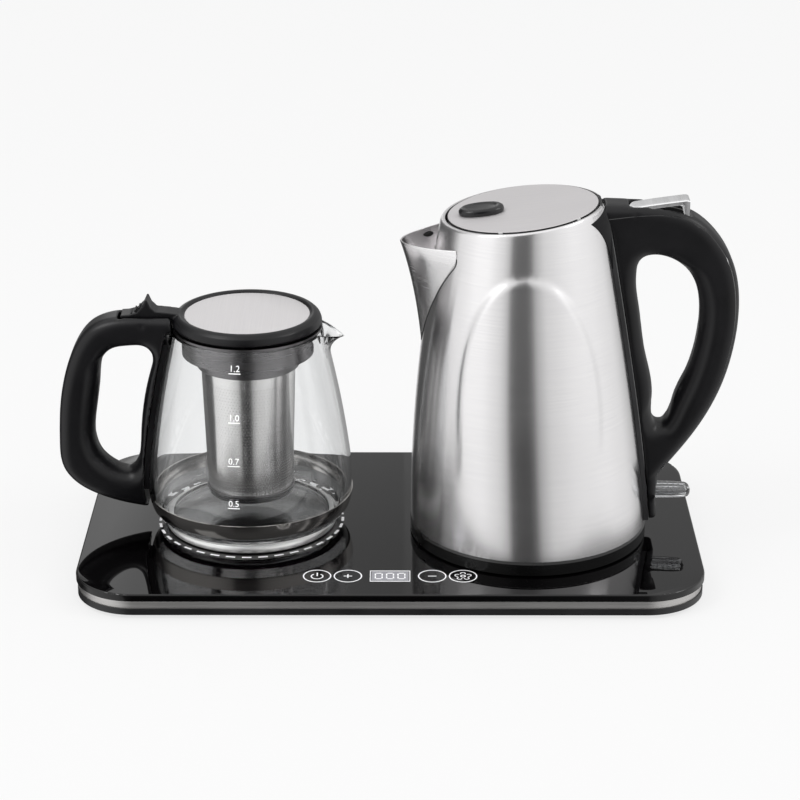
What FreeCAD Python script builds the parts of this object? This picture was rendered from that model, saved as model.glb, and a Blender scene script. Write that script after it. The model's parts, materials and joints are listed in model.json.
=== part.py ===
import FreeCAD, Part
import math
import os
from FreeCAD import Vector

os.makedirs("parts", exist_ok=True)

# Tea maker: a slim glass-topped tray that carries a cordless steel kettle on its right
# and a glass teapot with a lift-out infuser on its left.
# Millimetres, +Z up, origin on the resting plane under the middle of the tray,
# +X towards the kettle, -Y towards the controls.

# ---------------------------------------------------------------- driving dimensions
# tray
tray_width = 390.0
tray_depth = 225.0
tray_corner = 38.0
glass_thick = 4.5
glass_edge_round = 1.2
band_height = 5.5
band_thick = 1.2
band_inset = 1.5
pan_height = 4.0
pan_inset = 0.8
pan_floor = 1.6
frame_width = 5.0
foot_drop = 2.5
foot_radius = 9.0
foot_inset = 38.0
screw_head_radius = 2.8
screw_shank_radius = 1.4
screw_boss_radius = 4.5
screw_length = 7.0
screw_head_height = 1.2
screw_spread_x = 90.0
screw_spread_y = 50.0
board_thick = 1.6
board_standoff = 1.5
control_pitch_inner = 26.0
control_pitch_outer = 45.0
control_setback = 26.7
control_board_width = 124.0
control_board_depth = 22.0
display_width = 28.0
display_depth = 18.0
spring_radius = 3.6
spring_wire = 0.35
spring_turns = 4
power_board_width = 92.0
power_board_depth = 36.0
power_board_x = 14.0
relay_width = 19.0
relay_depth = 15.0
transformer_width = 26.0
transformer_depth = 22.0
gland_radius = 4.2
gland_bore = 2.9
gland_flange = 2.2
lead_radius = 1.2
heater_radius = 50.0
heater_thick = 1.7
heater_hole = 7.0
clamp_thick = 1.5
clamp_lip = 2.0
thermostat_radius = 8.0
tower_radius = 16.0
tower_height = 10.5
tower_flange_radius = 30.0
tower_flange_thick = 3.0
contact_pin_radius = 2.0
contact_ring_radius = 11.0
contact_ring_thick = 1.2

# kettle, heights above the glass
kettle_x = 87.9
kettle_y = -12.8
kettle_base_radius = 75.2
kettle_base_height = 9.8
kettle_foot_radius = 74.6
kettle_neck_radius = 51.0
neck_drop = 6.7
kettle_lean = 6.2
steel_wall = 1.0
lid_radius = 46.4
lid_centre_x = -6.6
lid_centre_height = 213.7
lid_tilt = 6.8
lid_gap = 1.7
lid_plate = 1.0
lid_skirt = 2.4
liner_depth = 10.0
seal_radius = 38.5
seal_width = 2.3
lid_hinge_outset = 0.8
lid_hinge_depth = 1.5
lid_pin_radius = 0.7
lid_eye_radius = 1.4
lid_knuckle_half = 7.0
hinge_lug_thick = 3.4
knob_length = 28.0
knob_width = 19.0
knob_height = 5.0
knob_offset = 25.4
knob_neck = 0.8
spout_reach = 81.6
spout_drop = 20.3
spout_rise = 3.0
spout_length = 65.4
spout_half_width = 27.0
pour_slot_half = 8.5
pour_slot_drop = 3.4
pour_slot_length = 40.0
filter_thick = 2.0
handle_half = 13.0
handle_round = 7.0
spine_outer_x = 81.4
spine_low = 10.6
handle_pattern_height = 213.7
gasket_drop = 9.7
spine_half = 11.5
spine_round = 4.0
gasket_thick = 2.6
lever_half = 7.6
lever_tip_x = 94.9
lever_front_reach = 4.0
lever_skirt_drop = 3.2
lever_pivot_x = 62.5
lever_pivot_drop = 0.3
lever_travel_gap = 3.8
pin_radius = 1.2
switch_length = 24.5
switch_half = 8.4
switch_thick = 7.4
switch_height = 26.5
heater_plate_height = 19.0
heater_plate_thick = 1.2
element_radius = 42.0
element_tube = 3.4
socket_radius = 23.0
socket_height = 14.0
base_cover_thick = 2.0
steam_block_width = 24.0
steam_block_length = 16.0
steam_block_height = 11.0

# teapot, heights above the glass
pot_x = -90.0
pot_y = 0.0
glass_wall = 2.4
glass_floor = 4.0
pot_rim_height = 132.0
foot_ring_radius = 54.6
foot_ring_width = 4.0
foot_ring_height = 5.4
heel_band_low = 14.2
heel_band_high = 23.6
heel_band_thick = 0.8
lip_reach = 61.0
lip_drop = 5.6
lip_half_width = 17.0
pot_handle_half = 13.0
pot_handle_round = 7.0
pot_strip_thick = 3.2
pot_lid_radius = 47.0
pot_lid_height = 8.2
pot_disc_radius = 39.4
pot_disc_thick = 1.3
pot_lid_top = 141.1
tongue_half = 6.8
pot_pin_x = -66.0
pot_pin_height = 136.0
pot_pin_radius = 1.4
thumb_tip_height = 153.4
thumb_pad_end = -79.0
thumb_channel_depth = 7.5
pot_screw_inset = 7.8
collar_radius = 41.4
collar_low = 116.5
collar_wall = 2.0
collar_flange_thick = 1.6
sleeve_radius = 32.5
sleeve_low = 108.5
cup_radius = 29.8
cup_taper = 2.6
cup_wall = 0.6
cup_low = 22.0
cup_base_height = 5.0
cup_flange = 3.0

# clearances
rest_gap = 0.2
slip_gap = 0.3
swing_gap = 0.6
fit_gap = 0.1
pin_gap = 0.06

# ---------------------------------------------------------------- levels of the tray
pan_low = foot_drop
floor_top = pan_low + pan_floor
pan_top = pan_low + pan_height
glass_low = pan_top + band_height
glass_top_level = glass_low + glass_thick
board_top = floor_top + board_standoff + board_thick
frame_inset = band_inset + band_thick + fit_gap
control_y = control_setback - tray_depth / 2
gland_z = glass_low - gland_radius - fit_gap
power_board_y = (tray_depth / 2 - frame_inset - frame_width - screw_boss_radius * 2
                 - power_board_depth / 2)

# levels of the kettle, which follow its lid
kettle_neck_height = lid_centre_height - neck_drop
spout_top = lid_centre_height - spout_drop
spout_foot = spout_top - spout_length
pour_slot_high = spout_top - pour_slot_drop
pour_slot_low = pour_slot_high - pour_slot_length
lever_pivot_height = lid_centre_height - lever_pivot_drop
lever_skirt_low = lever_pivot_height - lever_skirt_drop

Z = Vector(0, 0, 1)
Y = Vector(0, 1, 0)
X = Vector(1, 0, 0)


# ---------------------------------------------------------------- shared shape helpers
def rod(x, y, z, radius, length, axis=Z):
    """A round bar that starts at a point and runs along an axis."""
    return Part.makeCylinder(radius, length, Vector(x, y, z), axis)


def tube(outer, inner, low, height):
    """An upright tube about the Z axis."""
    return rod(0, 0, low, outer, height).cut(rod(0, 0, low, inner, height))


def block(x0, x1, y0, y1, z0, z1):
    """A box between two corners."""
    return Part.makeBox(x1 - x0, y1 - y0, z1 - z0, Vector(x0, y0, z0))


def slab(inset, low, high):
    """A rounded rectangular plate that follows the tray's outline, set in all round."""
    x = tray_width / 2 - inset
    y = tray_depth / 2 - inset
    body = block(-x, x, -y, y, low, high)
    upright = [e for e in body.Edges if abs(e.tangentAt(e.FirstParameter).z) > 0.9]
    return body.makeFillet(tray_corner - inset, upright)


def turned(points):
    """A closed (radius, height) outline turned about the Z axis."""
    corners = [Vector(r, 0, z) for r, z in points]
    face = Part.Face(Part.makePolygon(corners + corners[:1]))
    return face.revolve(Vector(0, 0, 0), Z, 360)


def side_spline(points, closed=False):
    """A smooth curve through (x, z) points in the plane y = 0."""
    curve = Part.BSplineCurve()
    curve.interpolate([Vector(x, 0, z) for x, z in points], PeriodicFlag=closed)
    return curve.toShape()


def side_chain(points):
    """Straight edges through (x, z) points in the plane y = 0."""
    return Part.makePolygon([Vector(x, 0, z) for x, z in points]).Edges


def side_solid(edges, half):
    """An outline in the plane y = 0, thickened equally to both sides."""
    face = Part.Face(Part.Wire(Part.sortEdges(edges)[0]))
    face.translate(Vector(0, -half, 0))
    return face.extrude(Vector(0, 2 * half, 0))


def cheek_edges(body, half, wanted):
    """The edges of both flat cheeks whose middle passes a test on (x, z)."""
    found = []
    for edge in body.Edges:
        middle = edge.valueAt((edge.FirstParameter + edge.LastParameter) / 2)
        flat = abs(abs(edge.BoundBox.YMin) - half) < 0.01 and edge.BoundBox.YLength < 0.01
        if flat and wanted(middle.x, middle.z):
            found.append(edge)
    return found


def on_kettle(shape):
    """Moves a piece from the kettle's own axis to its place on the tray."""
    return shape.translated(Vector(kettle_x, kettle_y, glass_top_level + rest_gap))


def on_lid_seat(shape):
    """Moves a piece drawn about the lid's centre to the tilted mouth of the kettle."""
    placed = shape.copy()
    placed.rotate(Vector(0, 0, 0), Y, -lid_tilt)
    placed.translate(Vector(lid_centre_x, 0, lid_centre_height))
    return on_kettle(placed)


def on_pot(shape):
    """Moves a piece from the teapot's own axis to its place on the tray."""
    return shape.translated(Vector(pot_x, pot_y, glass_top_level + rest_gap))


def export(name, *solids):
    """Writes one node, with as many separate solids as it has."""
    shape = solids[0] if len(solids) == 1 else Part.makeCompound(list(solids))
    shape.exportStep("parts/" + name + ".step")


def fuse(first, *others):
    """Joins touching shapes into one clean solid."""
    return first.fuse(list(others)).removeSplitter()


# ---------------------------------------------------------------- tray casing
def screw_places():
    """Where the pan is screwed to the frame, along the four straight edges."""
    x_edge = tray_width / 2 - frame_inset - frame_width - screw_boss_radius / 2
    y_edge = tray_depth / 2 - frame_inset - frame_width - screw_boss_radius / 2
    sides = [(sx * x_edge, sy * screw_spread_y) for sx in (-1, 1) for sy in (-1, 1)]
    ends = [(sx * screw_spread_x, sy * y_edge) for sx in (-1, 1) for sy in (-1, 1)]
    return sides + ends


def gland_hole(radius):
    """The round way through the rear wall for the supply cord."""
    return rod(0, tray_depth / 2 - frame_inset - frame_width - 1, gland_z, radius, 20, Y)


def glass_top():
    plate = slab(0, glass_low, glass_top_level)
    rims = [e for e in plate.Edges if e.BoundBox.ZMin > glass_top_level - 0.01]
    plate = plate.makeFillet(glass_edge_round, rims)
    hole = rod(kettle_x, kettle_y, glass_low - 1, tower_radius + slip_gap, glass_thick + 2)
    return plate.cut(hole)


def trim_band():
    outer = slab(band_inset, pan_top, glass_low)
    inner = slab(band_inset + band_thick, pan_top, glass_low)
    return outer.cut(inner).cut(gland_hole(gland_radius))


def top_frame():
    outer = slab(frame_inset, pan_top, glass_low)
    ring = outer.cut(slab(frame_inset + frame_width, pan_top, glass_low))
    bosses = [rod(x, y, floor_top, screw_boss_radius, glass_low - floor_top)
              for x, y in screw_places()]
    ring = fuse(ring, *bosses)
    for x, y in screw_places():
        ring = ring.cut(rod(x, y, floor_top, screw_shank_radius, screw_length - pan_floor))
    return ring.cut(gland_hole(gland_radius))


def bottom_pan():
    pan = slab(pan_inset, pan_low, pan_top)
    pan = pan.cut(slab(frame_inset + frame_width / 2, floor_top, pan_top))
    for x, y in screw_places():
        pan = pan.cut(rod(x, y, floor_top, screw_boss_radius + fit_gap, pan_height))
        pan = pan.cut(rod(x, y, pan_low, screw_shank_radius + fit_gap, pan_floor))
        pan = pan.cut(rod(x, y, pan_low, screw_head_radius + fit_gap, screw_head_height))
    posts = [rod(x, y, floor_top, screw_shank_radius, board_standoff)
             for x, y in board_posts()]
    return fuse(pan, *posts).cut(gland_hole(gland_radius))


def housing_screws():
    screws = []
    for x, y in screw_places():
        head = rod(x, y, pan_low, screw_head_radius, screw_head_height)
        shank = rod(x, y, pan_low, screw_shank_radius, screw_length)
        screws.append(head.fuse(shank).removeSplitter())
    return screws


def rubber_feet():
    x = tray_width / 2 - foot_inset
    y = tray_depth / 2 - foot_inset
    return [rod(sx * x, sy * y, 0, foot_radius, foot_drop) for sx in (-1, 1) for sy in (-1, 1)]


# ---------------------------------------------------------------- electrics in the tray
def board_posts():
    """Standoffs under the corners of the two circuit boards."""
    boards = [(0, control_y, control_board_width, control_board_depth),
              (power_board_x, power_board_y, power_board_width, power_board_depth)]
    inset = screw_shank_radius * 2
    return [(x + sx * (w / 2 - inset), y + sy * (d / 2 - inset))
            for x, y, w, d in boards for sx in (-1, 1) for sy in (-1, 1)]


def circuit_board(x, y, width, depth):
    low = floor_top + board_standoff
    return block(x - width / 2, x + width / 2, y - depth / 2, y + depth / 2, low, low + board_thick)


def touch_places():
    """The four touch controls, mirrored about the display."""
    return [-control_pitch_outer, -control_pitch_inner, control_pitch_inner, control_pitch_outer]


def touch_springs():
    springs = []
    free = glass_low - board_top - 2 * spring_wire - fit_gap
    for x in touch_places():
        helix = Part.makeHelix(free / spring_turns, free, spring_radius)
        section = Part.Wire(Part.makeCircle(spring_wire, Vector(spring_radius, 0, 0), Y))
        coil = Part.Wire(helix).makePipeShell([section], True, True)
        springs.append(coil.translated(Vector(x, control_y, board_top + spring_wire + fit_gap / 2)))
    return springs


def display_module():
    half_x = display_width / 2
    half_y = display_depth / 2
    return block(-half_x, half_x, control_y - half_y, control_y + half_y,
                 board_top, glass_low - fit_gap)


def power_board():
    board = circuit_board(power_board_x, power_board_y, power_board_width, power_board_depth)
    tall = glass_low - slip_gap
    left = power_board_x - power_board_width / 4
    right = power_board_x + power_board_width / 4
    relay = block(left - relay_width / 2, left + relay_width / 2, power_board_y - relay_depth / 2,
                  power_board_y + relay_depth / 2, board_top, tall)
    transformer = block(right - transformer_width / 2, right + transformer_width / 2,
                        power_board_y - transformer_depth / 2,
                        power_board_y + transformer_depth / 2, board_top, tall)
    return fuse(board, relay, transformer)


def cable_gland():
    inner_end = tray_depth / 2 - frame_inset - frame_width
    outer_end = tray_depth / 2
    sleeve = rod(0, inner_end, gland_z, gland_radius, outer_end - inner_end, Y)
    flange = rod(0, outer_end, gland_z, gland_radius + 1, gland_flange, Y)
    gland = fuse(sleeve, flange)
    return gland.cut(rod(0, inner_end - 1, gland_z, gland_bore, outer_end - inner_end + 10, Y))


def lead(start, end):
    """One straight insulated lead on the floor of the pan."""
    height = floor_top + lead_radius
    a = Vector(start[0], start[1], height)
    b = Vector(end[0], end[1], height)
    return Part.makeCylinder(lead_radius, (b - a).Length, a, b - a)


def wiring_leads():
    board_edge = power_board_y - power_board_depth / 2 - lead_radius
    step = 4 * lead_radius
    to_kettle = lead((power_board_x + power_board_width / 4, board_edge),
                     (kettle_x, kettle_y + tower_radius + tower_radius / 2))
    to_pot = lead((power_board_x - power_board_width / 2, board_edge),
                  (pot_x + thermostat_radius + 2 * lead_radius, pot_y + 2 * lead_radius))
    to_controls = lead((power_board_x - step, board_edge),
                       (power_board_x - step, control_y + control_board_depth / 2))
    return [to_kettle, to_pot, to_controls]


def warming_heater():
    low = glass_low - fit_gap - heater_thick
    return tube(heater_radius, heater_hole, low, heater_thick).translated(Vector(pot_x, pot_y, 0))


def heater_clamp():
    plate_top = glass_low - fit_gap - heater_thick
    plate_low = plate_top - clamp_thick
    dish = rod(0, 0, plate_low, heater_radius + clamp_lip, clamp_thick)
    stand = heater_radius - 2 * clamp_lip
    legs = [rod(stand * math.cos(a), stand * math.sin(a), floor_top, clamp_lip,
                plate_low - floor_top)
            for a in (math.radians(30 + 120 * n) for n in range(3))]
    return fuse(dish, *legs).translated(Vector(pot_x, pot_y, 0))


def warming_thermostat():
    top = glass_low - fit_gap - heater_thick - clamp_thick
    return rod(pot_x, pot_y, floor_top, thermostat_radius, top - floor_top)


def kettle_connector():
    flange_top = glass_low - fit_gap
    flange = rod(0, 0, flange_top - tower_flange_thick, tower_flange_radius, tower_flange_thick)
    stem = rod(0, 0, floor_top, tower_radius + tower_radius / 4, flange_top - floor_top)
    tower = rod(0, 0, floor_top, tower_radius, glass_top_level + tower_height - floor_top)
    body = fuse(flange, stem, tower)
    groove = tube(contact_ring_radius + contact_ring_thick / 2 + slip_gap,
                  contact_ring_radius - contact_ring_thick / 2 - slip_gap, glass_low, 30)
    well = rod(0, 0, glass_low, contact_pin_radius + slip_gap, 30)
    return body.cut(groove).cut(well).translated(Vector(kettle_x, kettle_y, 0))


def connector_contacts():
    height = glass_top_level + tower_height - 1 - glass_low
    pin = rod(0, 0, glass_low, contact_pin_radius, height)
    ring = tube(contact_ring_radius + contact_ring_thick / 2,
                contact_ring_radius - contact_ring_thick / 2, glass_low, height)
    return [s.translated(Vector(kettle_x, kettle_y, 0)) for s in (pin, ring)]


# ---------------------------------------------------------------- kettle body
def body_share(height):
    return max(0.0, (height - kettle_base_height) / (kettle_neck_height - kettle_base_height))


def body_radius(height):
    """The steel body draws in towards its neck, faster the higher it gets."""
    return kettle_foot_radius - (kettle_foot_radius - kettle_neck_radius) * body_share(height) ** 1.5


def body_centre(height):
    """The centre of each level leans towards the spout."""
    return -kettle_lean * math.sin(math.pi / 2 * body_share(height))


def body_solid(grow):
    """The kettle body as a full solid, grown or shrunk by a radial amount."""
    top = lid_centre_height + lid_radius / 2
    span = top - kettle_base_height
    rings = []
    for n in range(5):
        height = kettle_base_height + span * n / 4
        centre = Vector(body_centre(height), 0, height)
        rings.append(Part.Wire(Part.makeCircle(body_radius(height) + grow, centre, Z)))
    return Part.makeLoft(rings, True, False)


def above_mouth(depth):
    """Everything above a plane that lies parallel to the tilted mouth, a little below it."""
    size = kettle_neck_radius * 6
    cutter = block(-size, size, -size, size, -depth, size)
    cutter.rotate(Vector(0, 0, 0), Y, -lid_tilt)
    return cutter.translated(Vector(lid_centre_x, 0, lid_centre_height))


def mouth_bore(radius):
    """A round bore square to the tilted mouth."""
    bore = rod(0, 0, -liner_depth * 3, radius, liner_depth * 6)
    bore.rotate(Vector(0, 0, 0), Y, -lid_tilt)
    return bore.translated(Vector(lid_centre_x, 0, lid_centre_height))


def pour_slot():
    """The tall slot in the body wall, behind the spout."""
    low = pour_slot_low + pour_slot_half
    high = pour_slot_high - pour_slot_half
    length = spout_reach
    ends = [rod(-length, 0, z, pour_slot_half, length / 2, X) for z in (low, high)]
    middle = block(-length, -length / 2, -pour_slot_half, pour_slot_half, low, high)
    return fuse(middle, *ends)


def wall_x(height):
    """How far the outside of the body stands from the kettle's axis, on the handle side."""
    return body_centre(height) + body_radius(height)


def handle_screw_heights():
    return [switch_height + 4 * switch_thick, lid_centre_height - 4 * liner_depth / 2]


def screw_way(radius, start, length):
    """Bores from the inside of the body towards the handle, at both handle screws."""
    return [rod(wall_x(h) - start, 0, h, radius, length, X) for h in handle_screw_heights()]


def kettle_shell():
    outer = body_solid(0).cut(above_mouth(0))
    rim = [e for e in outer.Edges if e.BoundBox.ZMin > spout_top]
    outer = outer.makeFillet(1.2 * steel_wall, rim)
    inner = body_solid(-steel_wall).cut(above_mouth(steel_wall))
    shell = outer.cut(inner).cut(mouth_bore(lid_radius + lid_gap)).cut(pour_slot())
    notch_half = lid_pin_half() + swing_gap
    notch = block(0, 2 * lid_radius, -notch_half, notch_half, -2 * lid_skirt, liner_depth)
    notch.rotate(Vector(0, 0, 0), Y, -lid_tilt)
    shell = shell.cut(notch.translated(Vector(lid_centre_x, 0, lid_centre_height)))
    return shell.cut(screw_way(screw_shank_radius + fit_gap, 4 * steel_wall, 8 * steel_wall))


def spout_level(height, wall):
    """One level of the spout: a pointed curve from the body round the ridge and back."""
    share = (height - spout_foot) / (spout_top - spout_foot)
    half = max(spout_half_width * share ** 0.9 - wall, 0.6)
    foot_x = body_centre(height) - body_radius(height)
    tip = foot_x - (spout_reach + foot_x + slip_gap) * share ** 1.1 + wall * 1.4
    root = body_centre(height) - math.sqrt(body_radius(height) ** 2 - half ** 2) + 2 * steel_wall
    bow = (tip - root * 0.25) / 0.75
    poles = [Vector(root, -half, height), Vector(bow, -half * 0.2, height),
             Vector(bow, half * 0.2, height), Vector(root, half, height)]
    curve = Part.BezierCurve()
    curve.setPoles(poles)
    return Part.Wire([curve.toShape(), Part.makeLine(poles[3], poles[0])])


def spout():
    top = spout_top + 3 * spout_rise
    stations = [spout_foot + 1.2 + (top - spout_foot - 1.2) * n / 4 for n in range(5)]
    outer = Part.makeLoft([spout_level(z, 0) for z in stations], True, False)
    inner = Part.makeLoft([spout_level(z, steel_wall) for z in stations], True, False)
    slope = math.degrees(math.atan2(spout_rise, spout_reach - kettle_neck_radius))
    lid_cut = block(-200, 200, -100, 100, 0, 100)
    lid_cut.rotate(Vector(0, 0, 0), Y, -slope)
    lid_cut.translate(Vector(-spout_reach, 0, spout_top))
    return outer.cut(lid_cut).cut(body_solid(0)).cut(inner)


def spout_filter():
    hug = body_solid(-steel_wall - slip_gap).cut(body_solid(-steel_wall - slip_gap - filter_thick))
    window = block(-spout_reach, -kettle_neck_radius / 2, -2 * pour_slot_half, 2 * pour_slot_half,
                   pour_slot_low - pour_slot_half, lid_centre_height)
    return hug.common(window).cut(above_mouth(2 * liner_depth))


def wall_reach(depth, side):
    """How far the inside of the wall lies from the lid's axis, at a depth below the lid."""
    tilt = math.radians(lid_tilt)
    reach = lid_radius
    for _ in range(6):
        height = lid_centre_height + side * reach * math.sin(tilt) - depth * math.cos(tilt)
        wall = side * (body_radius(height) - steel_wall - fit_gap) + body_centre(height)
        reach = side * (wall - lid_centre_x - depth * math.sin(tilt)) / math.cos(tilt)
    return reach


def neck_ring():
    low = -2 * liner_depth + slip_gap
    seat = -lid_skirt - 2 * steel_wall
    wide = min(wall_reach(-low, 1), wall_reach(-low, -1))
    narrow = min(wall_reach(-seat, 1), wall_reach(-seat, -1))
    cup = turned([(seal_radius + swing_gap, low), (wide, low), (narrow, seat),
                  (seal_radius + swing_gap, seat)])
    lugs = []
    for near in (lid_knuckle_half + slip_gap, -lid_pin_half()):
        web = block(hinge_x() - 1, hinge_x() + 1, near, near + hinge_lug_thick, seat - 1,
                    -lid_hinge_depth)
        eye = rod(hinge_x(), near, -lid_hinge_depth, lid_eye_radius, hinge_lug_thick, Y)
        lugs.append(web.fuse(eye))
    cup = fuse(cup, *lugs)
    cup = cup.cut(rod(hinge_x(), -lid_radius, -lid_hinge_depth, lid_pin_radius,
                      2 * lid_radius, Y))
    cup.rotate(Vector(0, 0, 0), Y, -lid_tilt)
    return cup.translated(Vector(lid_centre_x, 0, lid_centre_height))


def hinge_x():
    """The lid turns about a pin just outside its rear edge."""
    return lid_radius + lid_hinge_outset


def lid_pin_half():
    return lid_knuckle_half + slip_gap + hinge_lug_thick


def lid_hinge_pin():
    half = lid_pin_half()
    return rod(hinge_x(), -half, -lid_hinge_depth, lid_pin_radius, 2 * half, Y)


def lid_cap():
    disc = rod(0, 0, -lid_plate, lid_radius, lid_plate)
    top_edge = [e for e in disc.Edges if e.BoundBox.ZMin > -0.01]
    disc = disc.makeFillet(lid_plate / 2, top_edge)
    skirt = tube(lid_radius, lid_radius - lid_plate, -lid_skirt, lid_skirt - lid_plate)
    behind = block(0, lid_radius * 2, -lid_knuckle_half - slip_gap, lid_knuckle_half + slip_gap,
                   -lid_skirt, -lid_plate)
    cap = fuse(disc, skirt.cut(behind))
    return cap.cut(knob_shape(-liner_depth, 0))


def lid_liner():
    flange = rod(0, 0, -lid_skirt - steel_wall, lid_radius - lid_plate - fit_gap,
                 lid_skirt + steel_wall - lid_plate)
    core = rod(0, 0, -liner_depth, seal_radius - seal_width, liner_depth - lid_skirt)
    eye = rod(hinge_x(), -lid_knuckle_half, -lid_hinge_depth, lid_eye_radius,
              2 * lid_knuckle_half, Y)
    arm = block(seal_radius, hinge_x(), -lid_knuckle_half, lid_knuckle_half,
                -lid_hinge_depth - lid_eye_radius, -lid_plate)
    liner = fuse(flange, core, eye.cut(rod(0, 0, -lid_plate, lid_radius + fit_gap, lid_plate)), arm)
    bore = rod(hinge_x(), -lid_radius, -lid_hinge_depth, lid_pin_radius + pin_gap,
               2 * lid_radius, Y)
    groove = tube(seal_radius, seal_radius - seal_width - fit_gap, -liner_depth + 1,
                  liner_depth / 2)
    return liner.cut(bore).cut(groove).cut(knob_shape(-lid_skirt, 0))


def lid_seal():
    return tube(seal_radius, seal_radius - seal_width, -liner_depth + 1, liner_depth / 2)


def knob_shape(low, high):
    """An upright oval prism where the knob passes through the lid."""
    oval = Part.Ellipse(Vector(-knob_offset, 0, low), knob_length / 2 * knob_neck,
                        knob_width / 2 * knob_neck)
    face = Part.Face(Part.Wire(oval.toShape()))
    return face.extrude(Vector(0, 0, high - low))


def lid_knob():
    levels = [(-lid_skirt, knob_neck), (0.0, knob_neck), (knob_height * 0.55, 0.97),
              (knob_height * 0.8, 1.0), (knob_height, 0.86)]
    wires = []
    for height, share in levels:
        oval = Part.Ellipse(Vector(-knob_offset, 0, height), knob_length / 2 * share,
                            knob_width / 2 * share)
        wires.append(Part.Wire(oval.toShape()))
    return Part.makeLoft(wires, True, True)


# ---------------------------------------------------------------- kettle handle and levers
handle_outer = [(36, 219.5), (60, 218.2), (80, 216.4), (96, 212), (111, 200.5), (123.5, 180),
                (128, 153.5), (126.2, 128), (119, 99.5), (106, 73), (86, 45.5), (66, 20)]
handle_seam = [(30, 205), (54, 205), (78, 204), (96, 200.5), (108, 190.5), (117.8, 174),
               (122, 153), (120.2, 129), (113.4, 102), (100.5, 76.5), (80, 49), (74, 41)]
handle_opening = [(64, 178), (68, 185), (78, 186.2), (88.5, 182), (98.5, 171.5), (103.6, 156),
                  (103.6, 136), (98, 110), (89.3, 87.5), (83.6, 75.5), (79.6, 75.3), (76.2, 91),
                  (70.6, 124), (66.2, 152)]


def fitted(points):
    """A line of the handle, stretched from the height that it was drawn for to the lid's."""
    return [(x, z * lid_centre_height / handle_pattern_height) for x, z in points]


def handle_blank():
    """The whole handle with its finger opening, before it is split into its pieces."""
    outer = fitted(handle_outer)
    start = outer[0]
    end = outer[-1]
    edge = [side_spline(outer)] + side_chain([end, (start[0], end[1]), start])
    grip = side_solid(edge, handle_half)
    grip = grip.cut(side_solid([side_spline(fitted(handle_opening), True)], handle_half + 1))
    curved = cheek_edges(grip, handle_half, lambda x, z: start[0] < x and end[1] < z)
    grip = grip.makeFillet(handle_round, [e for e in curved if e.Length > spine_outer_x * 3])
    root = start[0]
    slope = fitted([(spine_outer_x, 48), (66, 150), (root, 150)])
    corners = [(root, spine_low), (spine_outer_x, spine_low)] + slope + [(root, spine_low)]
    spine = side_solid(side_chain(corners), spine_half)
    outside = cheek_edges(spine, spine_half, lambda x, z: x > spine_outer_x - 10)
    upright = [e for e in outside if e.BoundBox.ZMin > spine_low - 0.01 and e.BoundBox.ZLength > 1]
    return fuse(grip, spine.makeFillet(spine_round, upright))


def seam_side():
    """Everything on the body's side of the line where the outer cover meets the frame."""
    seam = fitted(handle_seam)
    start = seam[0]
    end = seam[-1]
    edge = [side_spline(seam)]
    edge += side_chain([end, (spine_outer_x, end[1]), (spine_outer_x, 0), (0, 0),
                        (0, start[1]), start])
    return side_solid(edge, handle_half + 1)


def lever_pocket():
    """The slot in the top of the handle that the lid lever dips into."""
    front = lever_pivot_x - lever_front_reach - swing_gap
    return block(front, lever_tip_x + 2 * swing_gap, -lever_half - slip_gap, lever_half + slip_gap,
                 lever_skirt_low - lever_travel_gap, 2 * lid_centre_height)


def switch_slot():
    """The slot in the foot of the spine that the switch passes through."""
    half = switch_thick / 2 + 2.6
    return block(wall_x(switch_height), 120, -switch_half - slip_gap, switch_half + slip_gap,
                 switch_height - half, switch_height + half)


def switch_pivot_x():
    return (wall_x(switch_height) + gasket_thick + spine_outer_x) / 2 + slip_gap


def kettle_handle_frame():
    frame = handle_blank().common(seam_side()).cut(body_solid(slip_gap + gasket_thick))
    frame = frame.cut(lever_pocket()).cut(switch_slot())
    frame = frame.cut(rod(switch_pivot_x(), -handle_half, switch_height, pin_radius,
                          2 * handle_half, Y))
    return frame.cut(screw_way(screw_shank_radius, 0, 12))


def kettle_handle_cover():
    cover = handle_blank().cut(seam_side()).cut(body_solid(slip_gap)).cut(lever_pocket())
    lever_bore = rod(lever_pivot_x, -handle_half, lever_pivot_height, pin_radius,
                     2 * handle_half, Y)
    return cover.cut(lever_bore)


def handle_gasket():
    top = lid_centre_height - gasket_drop
    edge = side_chain([(20, spine_low), (spine_outer_x + 5, spine_low), (spine_outer_x + 5, top),
                       (20, top), (20, spine_low)])
    strip = side_solid(edge, handle_half)
    strip = strip.common(body_solid(gasket_thick + slip_gap / 2)).cut(body_solid(slip_gap / 2))
    strip = strip.cut(screw_way(screw_shank_radius + fit_gap, 1, 8))
    return strip.cut(switch_slot())


def handle_screws():
    screws = []
    for h in handle_screw_heights():
        inside = wall_x(h) - steel_wall - slip_gap
        shank = rod(inside - 1, 0, h, screw_shank_radius, 12, X)
        head = rod(inside - screw_head_height - 1, 0, h, screw_head_radius, screw_head_height, X)
        screws.append(fuse(shank, head))
    return screws


def release_lever():
    tip = lever_tip_x
    pivot = lever_pivot_x
    low = lever_skirt_low - lever_pivot_height
    side = [(pivot - lever_front_reach, 1.2), (pivot - 2, 3.6), (pivot + 12.5, 5.6),
            (tip - 2, 8.2), (tip, 7.2), (tip, low), (tip - 2.6, low), (tip - 4, 1.1),
            (pivot + 13.5, 0), (pivot + 2, -2.6), (pivot - 2, -2.4)]
    line = [(x, lever_pivot_height + z) for x, z in side]
    body = side_solid(side_chain(line + line[:1]), lever_half)
    bore = rod(pivot, -handle_half, lever_pivot_height, pin_radius + pin_gap, 2 * handle_half, Y)
    return body.cut(bore)


def cross_pin(x, height, half, radius):
    """A plain pin that lies across the object."""
    return rod(x, -half, height, radius, 2 * half, Y)


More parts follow.
